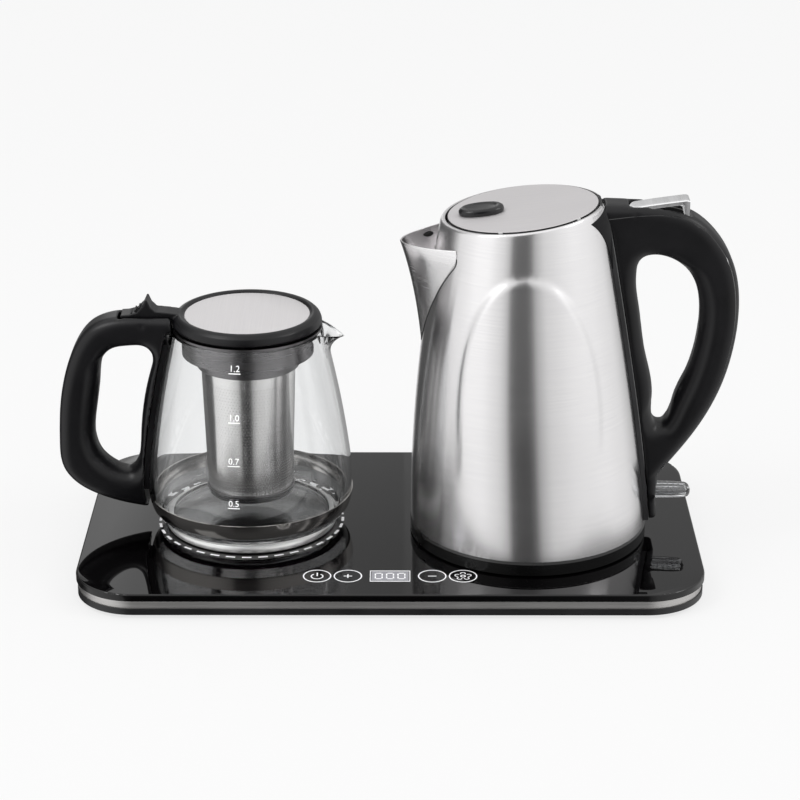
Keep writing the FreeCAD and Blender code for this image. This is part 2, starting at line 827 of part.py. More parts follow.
def switch_lever():
    pivot = switch_pivot_x()
    half = switch_thick / 2
    z = switch_height
    eye = rod(pivot, -switch_half, z, pin_radius + 0.9, 2 * switch_half, Y)
    tip = pivot + switch_length
    outline = [(pivot, z - 2), (pivot + 3, z - half), (tip - 3, z - half), (tip, z - 1),
               (tip, z + 1), (tip - 3, z + half), (pivot + 3, z + half), (pivot, z + 2)]
    paddle = side_solid(side_chain(outline + outline[:1]), switch_half)
    corners = [e for e in paddle.Edges if e.BoundBox.XMin > tip - 0.01
               and e.BoundBox.YLength < 0.01]
    paddle = paddle.makeFillet(switch_half / 2, corners)
    bore = rod(pivot, -handle_half, z, pin_radius + pin_gap, 2 * handle_half, Y)
    return fuse(paddle, eye).cut(bore)


# ---------------------------------------------------------------- kettle base
def kettle_base_ring():
    outer = kettle_base_radius
    inner = kettle_foot_radius - steel_wall - 2
    shelf = kettle_base_height - rest_gap
    return turned([(inner, 0), (outer - 1, 0), (outer, 1), (outer, shelf - 1.5), (outer - 1, shelf),
                   (inner, shelf)])


def kettle_base_cover():
    radius = kettle_foot_radius - steel_wall - 2 - fit_gap
    return tube(radius, tower_radius + 2 * swing_gap, 1, base_cover_thick)


def coupler_socket():
    low = 1 + base_cover_thick
    body = rod(0, 0, low, socket_radius, socket_height)
    return body.cut(rod(0, 0, low, tower_radius + swing_gap, tower_height - low + 1))


def heating_plate():
    level = heater_plate_height + heater_plate_thick
    radius = body_radius(level) - steel_wall - fit_gap
    return rod(body_centre(level), 0, heater_plate_height, radius, heater_plate_thick)


def heating_element():
    height = heater_plate_height - element_tube - fit_gap / 2
    loop = Part.makeTorus(element_radius, element_tube, Vector(0, 0, height), Z)
    gap = block(0, 2 * element_radius, -2 * element_tube, 2 * element_tube, 0, 2 * height)
    loop = loop.cut(gap)
    low = 1 + base_cover_thick
    legs = [rod(math.sqrt(element_radius ** 2 - (2 * element_tube) ** 2), side * 2 * element_tube,
                low, element_tube * 0.8, height - low) for side in (-1, 1)]
    return fuse(loop, *legs)


def steam_switch():
    low = 1 + base_cover_thick
    far = kettle_foot_radius - steel_wall - 3
    return block(far - steam_block_length, far, -steam_block_width / 2, steam_block_width / 2,
                 low, low + steam_block_height)


# ---------------------------------------------------------------- teapot
pot_outline = [(53, 5.8), (59.4, 9), (63, 15), (64.8, 25), (65, 35), (63.7, 50), (58.6, 83),
               (51, 120), (48.2, 132)]


def pot_solid(grow):
    """The glass jug as a full solid, grown or shrunk by a radial amount."""
    points = [(r + grow, z) for r, z in pot_outline]
    low = pot_outline[0][1]
    edges = [side_spline(points)]
    edges += side_chain([points[-1], (0, pot_rim_height), (0, low), points[0]])
    face = Part.Face(Part.Wire(Part.sortEdges(edges)[0]))
    return face.revolve(Vector(0, 0, 0), Z, 360)


def pot_radius(height):
    """Where the outside of the glass lies at a height."""
    for (r0, z0), (r1, z1) in zip(pot_outline, pot_outline[1:]):
        if z0 <= height <= z1:
            return r0 + (r1 - r0) * (height - z0) / (z1 - z0)
    return pot_outline[-1][0]


def lip_solid(shrink):
    """The pouring lip as a full wedge from the neck to its tip."""
    rim = pot_rim_height + (1 if shrink else 0)
    sections = [(pot_radius(pot_rim_height) - 3 * glass_wall, lip_half_width, 12.0, 0.0),
                (lip_reach, 3.2, 3.4, lip_drop)]
    wires = []
    for x, half, deep, drop in sections:
        half = half - shrink
        deep = max(deep - shrink, 0.6)
        top = rim - drop
        arc = Part.Arc(Vector(x, -half, top), Vector(x, 0, top - deep), Vector(x, half, top))
        chord = Part.makeLine(Vector(x, half, top), Vector(x, -half, top))
        wires.append(Part.Wire([arc.toShape(), chord]))
    return Part.makeLoft(wires, True, True)


def glass_jug():
    inner = pot_solid(-glass_wall)
    low = pot_outline[0][1] + glass_floor
    inner = inner.common(rod(0, 0, low, 2 * lip_reach, pot_rim_height))
    seat = rod(0, 0, rest_gap + 1, foot_ring_radius - foot_ring_width - fit_gap,
               pot_outline[0][1] - rest_gap - 1)
    jug = fuse(pot_solid(0), lip_solid(0), seat)
    return jug.cut(inner).cut(lip_solid(glass_wall * 0.8))


def foot_ring():
    outer = foot_ring_radius
    inner = outer - foot_ring_width
    high = foot_ring_height
    return turned([(inner, 0), (outer - 0.6, 0), (outer, 0.6), (outer, high - 1), (outer - 1, high),
                   (inner, high)])


def heel_band():
    hoop = pot_solid(fit_gap + heel_band_thick).cut(pot_solid(fit_gap))
    return hoop.common(rod(0, 0, heel_band_low, 2 * lip_reach, heel_band_high - heel_band_low))


pot_handle_outer = [(-46, 141.5), (-62, 141.7), (-79, 141.3), (-98, 135), (-108.5, 121.5),
                    (-115, 104.5), (-119.4, 82.6), (-121, 58.5), (-119, 39), (-111, 28.5),
                    (-97.5, 20.5), (-81, 15), (-62, 11.5)]
pot_handle_opening = [(-91.5, 113), (-85, 120), (-74.3, 122), (-64, 121), (-60, 115.5),
                      (-61.4, 105), (-69.2, 58.6), (-72.2, 43), (-77, 37.5), (-85.7, 40),
                      (-94.5, 48), (-98.4, 60), (-97.4, 75.1), (-93.8, 100.4)]


def pot_handle_blank():
    start = pot_handle_outer[0]
    end = pot_handle_outer[-1]
    edges = [side_spline(pot_handle_outer)]
    edges += side_chain([end, (-20, end[1]), (-20, start[1]), start])
    blank = side_solid(edges, pot_handle_half)
    opening = side_solid([side_spline(pot_handle_opening, True)], pot_handle_half + 1)
    blank = blank.cut(opening)
    rounded = cheek_edges(blank, pot_handle_half, lambda x, z: x < -58)
    return blank.makeFillet(pot_handle_round, rounded)


def pot_screw_way(radius):
    """Bores for the two screws that hold the handle to the strip on the glass."""
    return [rod(-pot_radius(h) - pot_strip_thick - 14, 0, h, radius, 14 + pot_strip_thick - 1, X)
            for h in pot_screw_heights()]


def pot_screw_heights():
    return [heel_band_high + 4, pot_rim_height - pot_screw_inset]


def pot_handle():
    handle = pot_handle_blank().cut(pot_solid(slip_gap + pot_strip_thick))
    clear = rod(0, 0, pot_rim_height - swing_gap, pot_lid_radius + 2 * swing_gap, 40)
    channel = block(thumb_pad_end - 3 * swing_gap, 0, -tongue_half - 2 * swing_gap,
                    tongue_half + 2 * swing_gap, pot_rim_height - thumb_channel_depth,
                    2 * pot_rim_height)
    band_way = tube(pot_radius(heel_band_high) + 3, 30, heel_band_low - 1,
                    heel_band_high - heel_band_low + 2)
    handle = handle.cut(clear).cut(channel).cut(band_way)
    handle = handle.cut(cross_pin(pot_pin_x, pot_pin_height, pot_handle_half, pot_pin_radius))
    return handle.cut(pot_screw_way(screw_shank_radius))


def pot_handle_strip():
    edges = side_chain([(-80, heel_band_high + 2), (-20, heel_band_high + 2),
                        (-20, pot_rim_height - 8), (-80, pot_rim_height - 8),
                        (-80, heel_band_high + 2)])
    strip = side_solid(edges, pot_handle_half - 2)
    strip = strip.common(pot_solid(pot_strip_thick + slip_gap / 2)).cut(pot_solid(slip_gap / 2))
    return strip.cut(pot_screw_way(screw_shank_radius))


def pot_handle_screws():
    return pot_screw_way(screw_shank_radius)


# ---------------------------------------------------------------- teapot lid
def pot_lid_ring():
    radius = pot_lid_radius
    top = pot_lid_top + 1.5
    low = top - pot_lid_height
    disc = pot_disc_radius + fit_gap
    web_top = pot_lid_top - pot_disc_thick - fit_gap
    ring = turned([(0, web_top - 2.6), (disc - 2, web_top - 2.6), (disc, low), (radius - 1.6, low),
                   (radius, low + 1.6), (radius, low + 3), (radius - 1, top - 2.6),
                   (radius - 3, top - 0.7), (radius - 5, top), (disc + 0.8, top - 0.6),
                   (disc, top - 1.4), (disc, web_top), (0, web_top)])
    pad = thumb_pad_end
    pin = pot_pin_x
    tongue = [(-43, 139.5), (-43, 142.6), (-50, 143.6), (-57, 144.2), (-60, 147.5),
              (pin + 4, thumb_tip_height), (pin + 3, thumb_tip_height), (pin + 1, 148),
              (pin - 3, 143.6), (pin - 8, 142.2), (pad, 141.8), (pad, 138.4), (pin - 3, 133.4),
              (pin + 3, 133), (-56, 136.6)]
    thumb = side_solid(side_chain(tongue + tongue[:1]), tongue_half)
    lid = fuse(ring, thumb)
    bore = cross_pin(pin, pot_pin_height, pot_handle_half, pot_pin_radius + pin_gap)
    return lid.cut(bore)


def pot_lid_disc():
    disc = rod(0, 0, pot_lid_top - pot_disc_thick, pot_disc_radius, pot_disc_thick)
    edge = [e for e in disc.Edges if e.BoundBox.ZMin > pot_lid_top - 0.01]
    return disc.makeFillet(pot_disc_thick / 3, edge)


def pot_lid_liner():
    top = pot_lid_top - pot_disc_thick - fit_gap - 2.6
    return rod(0, 0, top - 1.4, pot_disc_radius - 4, 1.4)


# ---------------------------------------------------------------- infuser
def infuser_collar():
    rim = pot_rim_height + slip_gap
    outer = collar_radius
    inner = outer - collar_wall
    bore = cup_radius + fit_gap
    step = collar_low + collar_wall
    flange = pot_radius(pot_rim_height) - 1
    collar = turned([(bore, sleeve_low), (sleeve_radius, sleeve_low), (sleeve_radius, collar_low),
                     (outer, collar_low), (outer, rim), (flange, rim),
                     (flange, rim + collar_flange_thick), (inner, rim + collar_flange_thick),
                     (inner, step), (bore, step)])
    slot = block(inner - 2, outer + 2, -sleeve_radius / 3, sleeve_radius / 3, step + 1, rim - 1)
    return collar.cut(slot)


def infuser_cup():
    top = collar_low + collar_wall
    low = cup_low + cup_wall
    foot = cup_radius - cup_taper
    wall = cup_wall
    return turned([(0, cup_low), (foot - 4, cup_low), (foot - 1, cup_low + 1.2),
                   (foot, cup_low + 4), (cup_radius, sleeve_low), (cup_radius, top),
                   (cup_radius + cup_flange, top), (cup_radius + cup_flange, top + wall),
                   (cup_radius - wall, top + wall), (cup_radius - wall, sleeve_low),
                   (foot - wall, cup_low + 4), (foot - 1 - wall, cup_low + 1.2 + wall),
                   (foot - 4, low), (0, low)])


def infuser_base():
    foot = cup_radius - cup_taper
    gap = fit_gap
    return turned([(0, cup_low - 0.8), (foot - 4, cup_low - 0.8), (foot - 0.4, cup_low + 0.4),
                   (foot + 0.9, cup_low + 3.6), (foot + 1, cup_low + cup_base_height),
                   (foot + 0.4, cup_low + cup_base_height), (foot + gap, cup_low + 4),
                   (foot - 1 + gap, cup_low + 1.1), (foot - 4, cup_low - gap), (0, cup_low - gap)])


# ---------------------------------------------------------------- all nodes
export("glass_top", glass_top())
export("trim_band", trim_band())
export("top_frame", top_frame())
export("bottom_pan", bottom_pan())
export("rubber_feet", *rubber_feet())
export("housing_screws", *housing_screws())
export("control_board", circuit_board(0, control_y, control_board_width, control_board_depth))
export("display_module", display_module())
export("touch_springs", *touch_springs())
export("power_board", power_board())
export("cable_gland", cable_gland())
export("wiring_leads", *wiring_leads())
export("warming_heater", warming_heater())
export("heater_clamp", heater_clamp())
export("warming_thermostat", warming_thermostat())
export("kettle_connector", kettle_connector())
export("connector_contacts", *connector_contacts())

export("kettle_shell", on_kettle(kettle_shell()))
export("kettle_spout", on_kettle(spout()))
export("spout_filter", on_kettle(spout_filter()))
export("neck_ring", on_kettle(neck_ring()))
export("lid_hinge_pin", on_lid_seat(lid_hinge_pin()))
export("kettle_base_ring", on_kettle(kettle_base_ring()))
export("kettle_base_cover", on_kettle(kettle_base_cover()))
export("coupler_socket", on_kettle(coupler_socket()))
export("heating_plate", on_kettle(heating_plate()))
export("heating_element", on_kettle(heating_element()))
export("steam_switch", on_kettle(steam_switch()))
export("kettle_handle_frame", on_kettle(kettle_handle_frame()))
export("kettle_handle_cover", on_kettle(kettle_handle_cover()))
export("handle_gasket", on_kettle(handle_gasket()))
export("handle_screws", *[on_kettle(s) for s in handle_screws()])
export("release_lever_pin", on_kettle(cross_pin(lever_pivot_x, lever_pivot_height,
                                                handle_half - 2, pin_radius)))
export("switch_pin", on_kettle(cross_pin(switch_pivot_x(), switch_height, handle_half - 1,
                                         pin_radius)))
export("kettle_lid_cap", on_lid_seat(lid_cap()))
export("kettle_lid_liner", on_lid_seat(lid_liner()))
export("kettle_lid_seal", on_lid_seat(lid_seal()))
export("kettle_lid_knob", on_lid_seat(lid_knob()))
export("release_lever", on_kettle(release_lever()))
export("switch_lever", on_kettle(switch_lever()))

export("glass_jug", on_pot(glass_jug()))
export("pot_foot_ring", on_pot(foot_ring()))
export("pot_heel_band", on_pot(heel_band()))
export("pot_handle", on_pot(pot_handle()))
export("pot_handle_strip", on_pot(pot_handle_strip()))
export("pot_handle_screws", *[on_pot(s) for s in pot_handle_screws()])
export("pot_hinge_pin", on_pot(cross_pin(pot_pin_x, pot_pin_height, pot_handle_half - 1.5,
                                         pot_pin_radius)))
export("pot_lid_ring", on_pot(pot_lid_ring()))
export("pot_lid_disc", on_pot(pot_lid_disc()))
export("pot_lid_liner", on_pot(pot_lid_liner()))
export("infuser_collar", on_pot(infuser_collar()))
export("infuser_cup", on_pot(infuser_cup()))
export("infuser_base", on_pot(infuser_base()))
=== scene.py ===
import json
import math

import bmesh
import bpy
from mathutils import Matrix, Vector
from mathutils.kdtree import KDTree


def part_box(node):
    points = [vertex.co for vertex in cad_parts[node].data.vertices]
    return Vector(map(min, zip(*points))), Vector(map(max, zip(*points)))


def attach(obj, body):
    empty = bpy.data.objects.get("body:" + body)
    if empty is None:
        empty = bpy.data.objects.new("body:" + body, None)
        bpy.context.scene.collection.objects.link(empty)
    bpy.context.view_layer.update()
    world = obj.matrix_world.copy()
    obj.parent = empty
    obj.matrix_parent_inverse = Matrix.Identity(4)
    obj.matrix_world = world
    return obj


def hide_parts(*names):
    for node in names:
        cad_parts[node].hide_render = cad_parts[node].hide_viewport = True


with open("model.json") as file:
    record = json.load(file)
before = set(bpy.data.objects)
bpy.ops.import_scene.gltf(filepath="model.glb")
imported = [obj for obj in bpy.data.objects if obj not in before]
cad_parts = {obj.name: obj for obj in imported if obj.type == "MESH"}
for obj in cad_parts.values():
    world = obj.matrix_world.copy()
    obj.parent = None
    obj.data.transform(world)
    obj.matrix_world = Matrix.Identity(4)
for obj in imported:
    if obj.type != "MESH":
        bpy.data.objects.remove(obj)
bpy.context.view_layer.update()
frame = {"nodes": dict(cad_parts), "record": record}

# ---------------------------------------------------------------- camera
# A long lens looks down on the tray from in front of its controls, so that upright edges stay
# nearly upright.
camera_lens, camera_sensor = 113.92, 36.0
camera_place = (0.00856, -1.4975, 0.6921)
camera_tilt_down, camera_turn = 21.595, 0.099


def new_object(name, data):
    """An object that shows a mesh, a lamp, a curve or a camera."""
    made = bpy.data.objects.new(name, data)
    bpy.context.scene.collection.objects.link(made)
    return made


camera_data = bpy.data.cameras.new("camera")
camera_data.lens = camera_lens
camera_data.sensor_width = camera_sensor
camera = new_object("camera", camera_data)
camera.location = camera_place
camera.rotation_euler = (math.radians(90 - camera_tilt_down), 0, math.radians(camera_turn))
bpy.context.scene.camera = camera
bpy.context.scene.view_settings.view_transform = "Standard"

# ---------------------------------------------------------------- studio
# A pale floor under an even studio. What polished pieces mirror is a ring of pale cards with
# darker gaps between them and a bright ceiling; behind everything lies the same pale grey.
pale = (0.93, 0.93, 0.93)
floor_half, floor_glow = 6.0, 0.8


def set_inputs(tree, node, **inputs):
    """Links a node's inputs to sockets or gives them values, by name with _ for a space."""
    for label, value in inputs.items():
        socket = node.inputs[label.replace("_", " ")]
        if isinstance(value, bpy.types.NodeSocket):
            tree.links.new(value, socket)
        elif socket.type == "RGBA" and len(value) == 3:
            socket.default_value = (*value, 1)
        else:
            socket.default_value = value
    return node


def add_node(tree, kind, **inputs):
    """A new node with its inputs linked or set."""
    return set_inputs(tree, tree.nodes.new(kind), **inputs)


def node_math(tree, operation, *values, kind="ShaderNodeMath"):
    """One step of arithmetic on sockets and plain numbers."""
    node = tree.nodes.new(kind)
    node.operation = operation
    for socket, value in zip(node.inputs, values):
        if isinstance(value, bpy.types.NodeSocket):
            tree.links.new(value, socket)
        else:
            socket.default_value = value
    return node.outputs[0]


def level_map(tree, value, from_low, from_high, to_low=0.0, to_high=1.0):
    """Maps one range of values to another and holds it there."""
    return add_node(tree, "ShaderNodeMapRange", Value=value, From_Min=from_low,
                    From_Max=from_high, To_Min=to_low, To_Max=to_high).outputs[0]


def two_tones(tree, share, first, second):
    """A colour between two, by a share from 0 to 1."""
    node = tree.nodes.new("ShaderNodeMix")
    node.data_type = "RGBA"
    return set_inputs(tree, node, Factor=share, A=first, B=second).outputs["Result"]


def shader_mix(tree, share, first, second):
    """One shader or another, by a share from 0 to 1."""
    node = tree.nodes.new("ShaderNodeMixShader")
    for socket, value in zip(node.inputs, (share, first, second)):
        tree.links.new(value, socket)
    return node.outputs[0]


floor_mesh = bpy.data.meshes.new("floor")
floor_mesh.from_pydata([(x * floor_half, y * floor_half, 0)
                        for x, y in ((-1, -1), (1, -1), (1, 1), (-1, 1))], [], [(0, 1, 2, 3)])
floor = new_object("floor", floor_mesh)
floor.visible_glossy = False

# The floor shows plain, but what glass mirrors sees through it to the ring of cards.
floor_finish = bpy.data.materials.new("floor_card")
floor_finish.use_nodes = True
tree = floor_finish.node_tree
tree.nodes.clear()
rays = tree.nodes.new("ShaderNodeLightPath").outputs
seen = node_math(tree, "MAXIMUM", rays["Is Camera Ray"], rays["Is Transmission Ray"])
lit_card = shader_mix(tree, node_math(tree, "MULTIPLY", seen, floor_glow),
                      add_node(tree, "ShaderNodeBsdfDiffuse", Color=pale).outputs[0],
                      add_node(tree, "ShaderNodeEmission", Color=pale).outputs[0])
mirrored = node_math(tree, "GREATER_THAN", rays["Glossy Depth"], 0.5)
hidden = node_math(tree, "MULTIPLY", rays["Is Transmission Ray"], mirrored)
clear_way = tree.nodes.new("ShaderNodeBsdfTransparent").outputs[0]
add_node(tree, "ShaderNodeOutputMaterial", Surface=shader_mix(tree, hidden, lit_card, clear_way))
floor_mesh.materials.append(floor_finish)

# Brightness of the ring of cards, by the angle in degrees from the front, plus is to the right.
card_ring = [(-180, 0.30), (-177, 0.36), (-172, 0.85), (-167, 0.85), (-160, 0.05), (-119, 0.05),
             (-109, 0.22), (-96, 0.85), (-66, 1.05), (-45, 1.0), (-28, 0.78), (-20, 0.52),
             (-15.5, 0.10), (-9, 0.04), (2, 0.03), (8, 0.10), (13, 0.40), (25, 0.70), (50, 0.88),
             (90, 0.95), (118, 0.85), (140, 0.55), (160, 0.30), (172, 0.36), (180, 0.38)]
ceiling_light, haze_light = 1.15, 0.12
ceiling_low, ceiling_high = math.radians(26), math.radians(54)
haze_low, haze_high = math.radians(-24), math.radians(4)

world = bpy.data.worlds.new("studio")
bpy.context.scene.world = world
world.use_nodes = True
tree = world.node_tree
tree.nodes.clear()
where = tree.nodes.new("ShaderNodeTexCoord").outputs["Generated"]
parts = add_node(tree, "ShaderNodeSeparateXYZ", Vector=where).outputs
turn = node_math(tree, "ARCTAN2", parts["X"], node_math(tree, "MULTIPLY", parts["Y"], -1.0))
ring = add_node(tree, "ShaderNodeValToRGB",
                Fac=node_math(tree, "MULTIPLY_ADD", turn, 0.5 / math.pi, 0.5))
stops = ring.color_ramp.elements
while len(stops) > 1:
    stops.remove(stops[-1])
for number, (angle, level) in enumerate(card_ring):
    stop = stops[0] if number == 0 else stops.new((angle + 180) / 360)
    stop.position = (angle + 180) / 360
    stop.color = (level, level, level, 1)
rise = level_map(tree, parts["Z"], math.sin(ceiling_low), math.sin(ceiling_high))
rise.node.interpolation_type = "SMOOTHSTEP"
haze = level_map(tree, parts["Z"], math.sin(haze_low), math.sin(haze_high), 0.0, haze_light)
hazy_ring = node_math(tree, "ADD", ring.outputs["Color"], haze, kind="ShaderNodeVectorMath")
sky = two_tones(tree, rise, hazy_ring, (ceiling_light, ceiling_light, ceiling_light))
rays = tree.nodes.new("ShaderNodeLightPath").outputs
straight = node_math(tree, "LESS_THAN", rays["Glossy Depth"], 0.5)
through_glass = node_math(tree, "MULTIPLY", rays["Is Transmission Ray"], straight)
add_node(tree, "ShaderNodeOutputWorld", Surface=shader_mix(
    tree, node_math(tree, "MAXIMUM", rays["Is Camera Ray"], through_glass),
    add_node(tree, "ShaderNodeBackground", Color=sky).outputs[0],
    add_node(tree, "ShaderNodeBackground", Color=pale).outputs[0]))

# Two square soft boxes face the object from the upper left and the right.
lamp_target = Vector((0, 0, 0.1))
lamps = (("key_lamp", (-0.9, -0.5, 1.3), 0.6, 5.0), ("side_lamp", (1.1, -0.2, 1.1), 0.5, 3.0))
for name, lamp_place, size, watts in lamps:
    lamp_data = bpy.data.lights.new(name, "AREA")
    lamp_data.size = size
    lamp_data.energy = watts
    lamp = new_object(name, lamp_data)
    lamp.location = lamp_place
    lamp.rotation_euler = (lamp_target - Vector(lamp_place)).to_track_quat("-Z", "Y").to_euler()

# ---------------------------------------------------------------- glass top of the tray
# A 4.5 mm plate of tempered glass, painted black from below, with a ground and polished edge.
# It drops on the frame and has one round hole, for the kettle's connector.
mm = 0.001
body_of = {node: body for body, members in frame["record"]["behaviour"]["bodies"].items()
           for node in members}
slot_of = {row["node"]: row["material_slot"] for row in frame["record"]["subparts"]}
weld_gap = 0.002 * mm


def shader_group(name, inputs, outputs):
    """An empty group of shader nodes, the sockets of its inputs, and its end."""
    group = bpy.data.node_groups.new(name, "ShaderNodeTree")
    for label, kind, value in inputs:
        group.interface.new_socket(label, in_out="INPUT", socket_type=kind).default_value = value
    for label in outputs:
        group.interface.new_socket(label, in_out="OUTPUT", socket_type="NodeSocketFloat")
    given = group.nodes.new("NodeGroupInput").outputs
    return group, given, group.nodes.new("NodeGroupOutput")


def noise_in(tree, vector, scale, detail=3.0, rough=0.55):
    """A noise texture that reads a vector."""
    return add_node(tree, "ShaderNodeTexNoise", Vector=vector, Scale=scale, Detail=detail,
                    Roughness=rough).outputs["Fac"]


# Smears and fingerprints: cloudy patches that make a polished surface a little duller.
smear_group, given, end = shader_group(
    "smears",
    [("Place", "NodeSocketVector", (0, 0, 0)), ("Size", "NodeSocketFloat", 30.0),
     ("Clean", "NodeSocketFloat", 0.03), ("Smeared", "NodeSocketFloat", 0.08)],
    ["Roughness", "Patch"])
patch = noise_in(smear_group, given["Place"], given["Size"], 4.0, 0.62)
set_inputs(smear_group, end, Patch=level_map(smear_group, patch, 0.42, 0.72),
           Roughness=level_map(smear_group, patch, 0.42, 0.72, given["Clean"], given["Smeared"]))

# Dust that settles on what faces up.
dust_group, given, end = shader_group(
    "settled_dust",
    [("Place", "NodeSocketVector", (0, 0, 0)), ("Amount", "NodeSocketFloat", 0.1)], ["Mask"])
specks = level_map(dust_group, noise_in(dust_group, given["Place"], 900.0, 2.0), 0.66, 0.72)
facing = dust_group.nodes.new("ShaderNodeNewGeometry").outputs["Normal"]
upward = add_node(dust_group, "ShaderNodeSeparateXYZ", Vector=facing).outputs["Z"]
specks = node_math(dust_group, "MULTIPLY", level_map(dust_group, upward, 0.6, 1.0), specks)
set_inputs(dust_group, end, Mask=node_math(dust_group, "MULTIPLY", specks, given["Amount"]))


def new_finish(name, **values):
    """A material, its tree, its shader with some plain values, and the place on the object."""
    material = bpy.data.materials.new(name)
    material.use_nodes = True
    tree = material.node_tree
    shader = set_inputs(tree, tree.nodes["Principled BSDF"], **values)
    return material, tree, shader, tree.nodes.new("ShaderNodeTexCoord").outputs["Object"]


def use_group(tree, group, **values):
    """Places a group in a material with its own values."""
    node = tree.nodes.new("ShaderNodeGroup")
    node.node_tree = group
    return set_inputs(tree, node, **values).outputs


def bump(tree, height, depth):
    """A normal that follows a height, as deep as a real length."""
    return add_node(tree, "ShaderNodeBump", Strength=1.0, Distance=depth,
                    Height=height).outputs["Normal"]


black_glass, tree, shader, place = new_finish("black_glass", IOR=1.5)
smears = use_group(tree, smear_group, Place=place, Size=22.0, Clean=0.015, Smeared=0.05)
dust = use_group(tree, dust_group, Place=place, Amount=0.03)
set_inputs(tree, shader, Roughness=smears["Roughness"],
           Base_Color=two_tones(tree, dust["Mask"], (0.0008, 0.0006, 0.0008), (0.2, 0.2, 0.21)))


def new_piece(name, mesh, material=None, sharp=30):
    """An object with a finish, smooth apart from edges sharper than an angle."""
    mesh.shade_smooth()
    mesh.set_sharp_from_angle(angle=math.radians(sharp))
    if material:
        mesh.materials.clear()
        mesh.materials.append(material)
    return new_object(name, mesh)


def fit(piece, body, slot, *replaced):
    """Joins a piece to the body it belongs to and hides the nodes it stands for."""
    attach(piece, body)
    if replaced:
        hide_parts(*replaced)
    return piece


def polished_copy(node, name, material):
    """The same solid with its triangles merged, so that round faces shade smoothly."""
    mesh = frame["nodes"][node].data.copy()
    for layer in [a.name for a in mesh.attributes if a.name == "custom_normal"]:
        mesh.attributes.remove(mesh.attributes[layer])
    shape = bmesh.new()
    shape.from_mesh(mesh)
    bmesh.ops.remove_doubles(shape, verts=shape.verts, dist=weld_gap)
    shape.to_mesh(mesh)
    shape.free()
    return fit(new_piece(name, mesh, material), body_of[node], slot_of[node], node)


polished_copy("glass_top", "tray_glass", black_glass)
glass_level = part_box("glass_top")[1].z

# ---------------------------------------------------------------- touch marks on the glass
# Four touch controls and the frame of the display, screen-printed in pale grey. Each control is
# a ring with a plain sign: power, more, less and keep warm. The digits are lit segments.
print_thick, print_line = 0.05 * mm, 0.75 * mm
ink_level = glass_level + 0.01 * mm
control_line_y, ring_radius = -85.8 * mm, 8.4 * mm
control_x = {"power": -45 * mm, "more": -26 * mm, "less": 26 * mm, "warm": 45 * mm}
sign_half = 2.6 * mm
power_radius, power_drop, power_stem = 3.6 * mm, 0.4 * mm, 4.6 * mm
petals, petal_reach, petal_radius, petal_line = 5, 3.7 * mm, 1.5 * mm, 0.6 * mm
bud_radius = 1.4 * mm
display_x, display_low, display_high = 12.2 * mm, -93.2 * mm, -78.4 * mm
display_line, window_inset = 0.9 * mm, 0.7 * mm
digit_half_x, digit_half_y, digit_pitch = 2.1 * mm, 3.9 * mm, 7.0 * mm
segment_gap, segment_line = 0.5 * mm, 0.8 * mm


def speckled_ink(name, fineness, first, second, **values):
    """Ink or enamel with fine specks of two tones."""
    material, tree, shader, place = new_finish(name, **values)
    specks = noise_in(tree, place, fineness, 2.0)
    set_inputs(tree, shader, Base_Color=two_tones(tree, specks, first, second))
    return material


def ribbon(shape, points, width, level, closed=False):
    """A flat printed line of even width through points in the plane of the glass."""
    line = [Vector(p) for p in points]
    count = len(line)
    pairs = []
    for i, here in enumerate(line):
        before = line[i - 1] if closed or i else here
        after = line[(i + 1) % count] if closed or i < count - 1 else here
        along = (after - before).normalized()
        aside = Vector((-along.y, along.x)) * width / 2
        pairs.append([shape.verts.new((*(here + side * aside), level)) for side in (-1, 1)])
    for i in range(count if closed else count - 1):
        a, b = pairs[i], pairs[(i + 1) % count]
        shape.faces.new((a[0], b[0], b[1], a[1]))


def arc_points(x, y, radius, first, last, steps):
    """Points along an arc, by angles in degrees."""
    angles = [math.radians(first + (last - first) * i / steps) for i in range(steps + 1)]
    return [(x + radius * math.cos(a), y + radius * math.sin(a)) for a in angles]


def carry(shape, faces, along):
    """Makes flat faces solid by carrying them along a vector."""
    grown = bmesh.ops.extrude_face_region(shape, geom=faces)
    ahead = [g for g in grown["geom"] if isinstance(g, bmesh.types.BMVert)]
    bmesh.ops.translate(shape, verts=ahead, vec=along)


def as_mesh(name, shape, outwards=True):
    """Ends a shape as a mesh, with its faces turned outwards."""
    if outwards:
        bmesh.ops.recalc_face_normals(shape, faces=shape.faces)
    mesh = bpy.data.meshes.new(name)
    shape.to_mesh(mesh)
    shape.free()
    return mesh


def print_on_glass(name, shape, material):
    """Gives flat print its thin coat of ink and joins it to the tray."""
    bmesh.ops.recalc_face_normals(shape, faces=shape.faces)
    for face in shape.faces:
        if face.normal.z < 0:
            face.normal_flip()
    carry(shape, list(shape.faces), (0, 0, print_thick))
    fit(new_piece(name, as_mesh(name, shape), material), "tray", "display")


# The print's emission is a painted glow on the control marks and the dashes; on the digits it stands for
# their lit segments.
white_print_painted_glow = speckled_ink("white_print_painted_glow", 1800.0, (0.62, 0.62, 0.64), (0.86, 0.86, 0.88),
                           Roughness=0.45, Emission_Strength=0.3, Emission_Color=(1, 1, 1, 1))
marks = bmesh.new()
for x in control_x.values():
    circle = arc_points(x, control_line_y, ring_radius, 0, 360, 48)[:-1]
    ribbon(marks, circle, print_line, ink_level, closed=True)
for name in ("more", "less"):
    x = control_x[name]
    ribbon(marks, [(x - sign_half, control_line_y), (x + sign_half, control_line_y)], print_line,
           ink_level)
x = control_x["more"]
for way in (-1, 1):
    ribbon(marks, [(x, control_line_y + way * print_line / 2), (x, control_line_y + way * sign_half)],
           print_line, ink_level)
x = control_x["power"]
ribbon(marks, arc_points(x, control_line_y - power_drop, power_radius, 125, 415, 30), print_line,
       ink_level)
ribbon(marks, [(x, control_line_y), (x, control_line_y + power_stem)], print_line, ink_level)
x = control_x["warm"]
bud = arc_points(x, control_line_y, bud_radius, 0, 360, 16)[:-1]
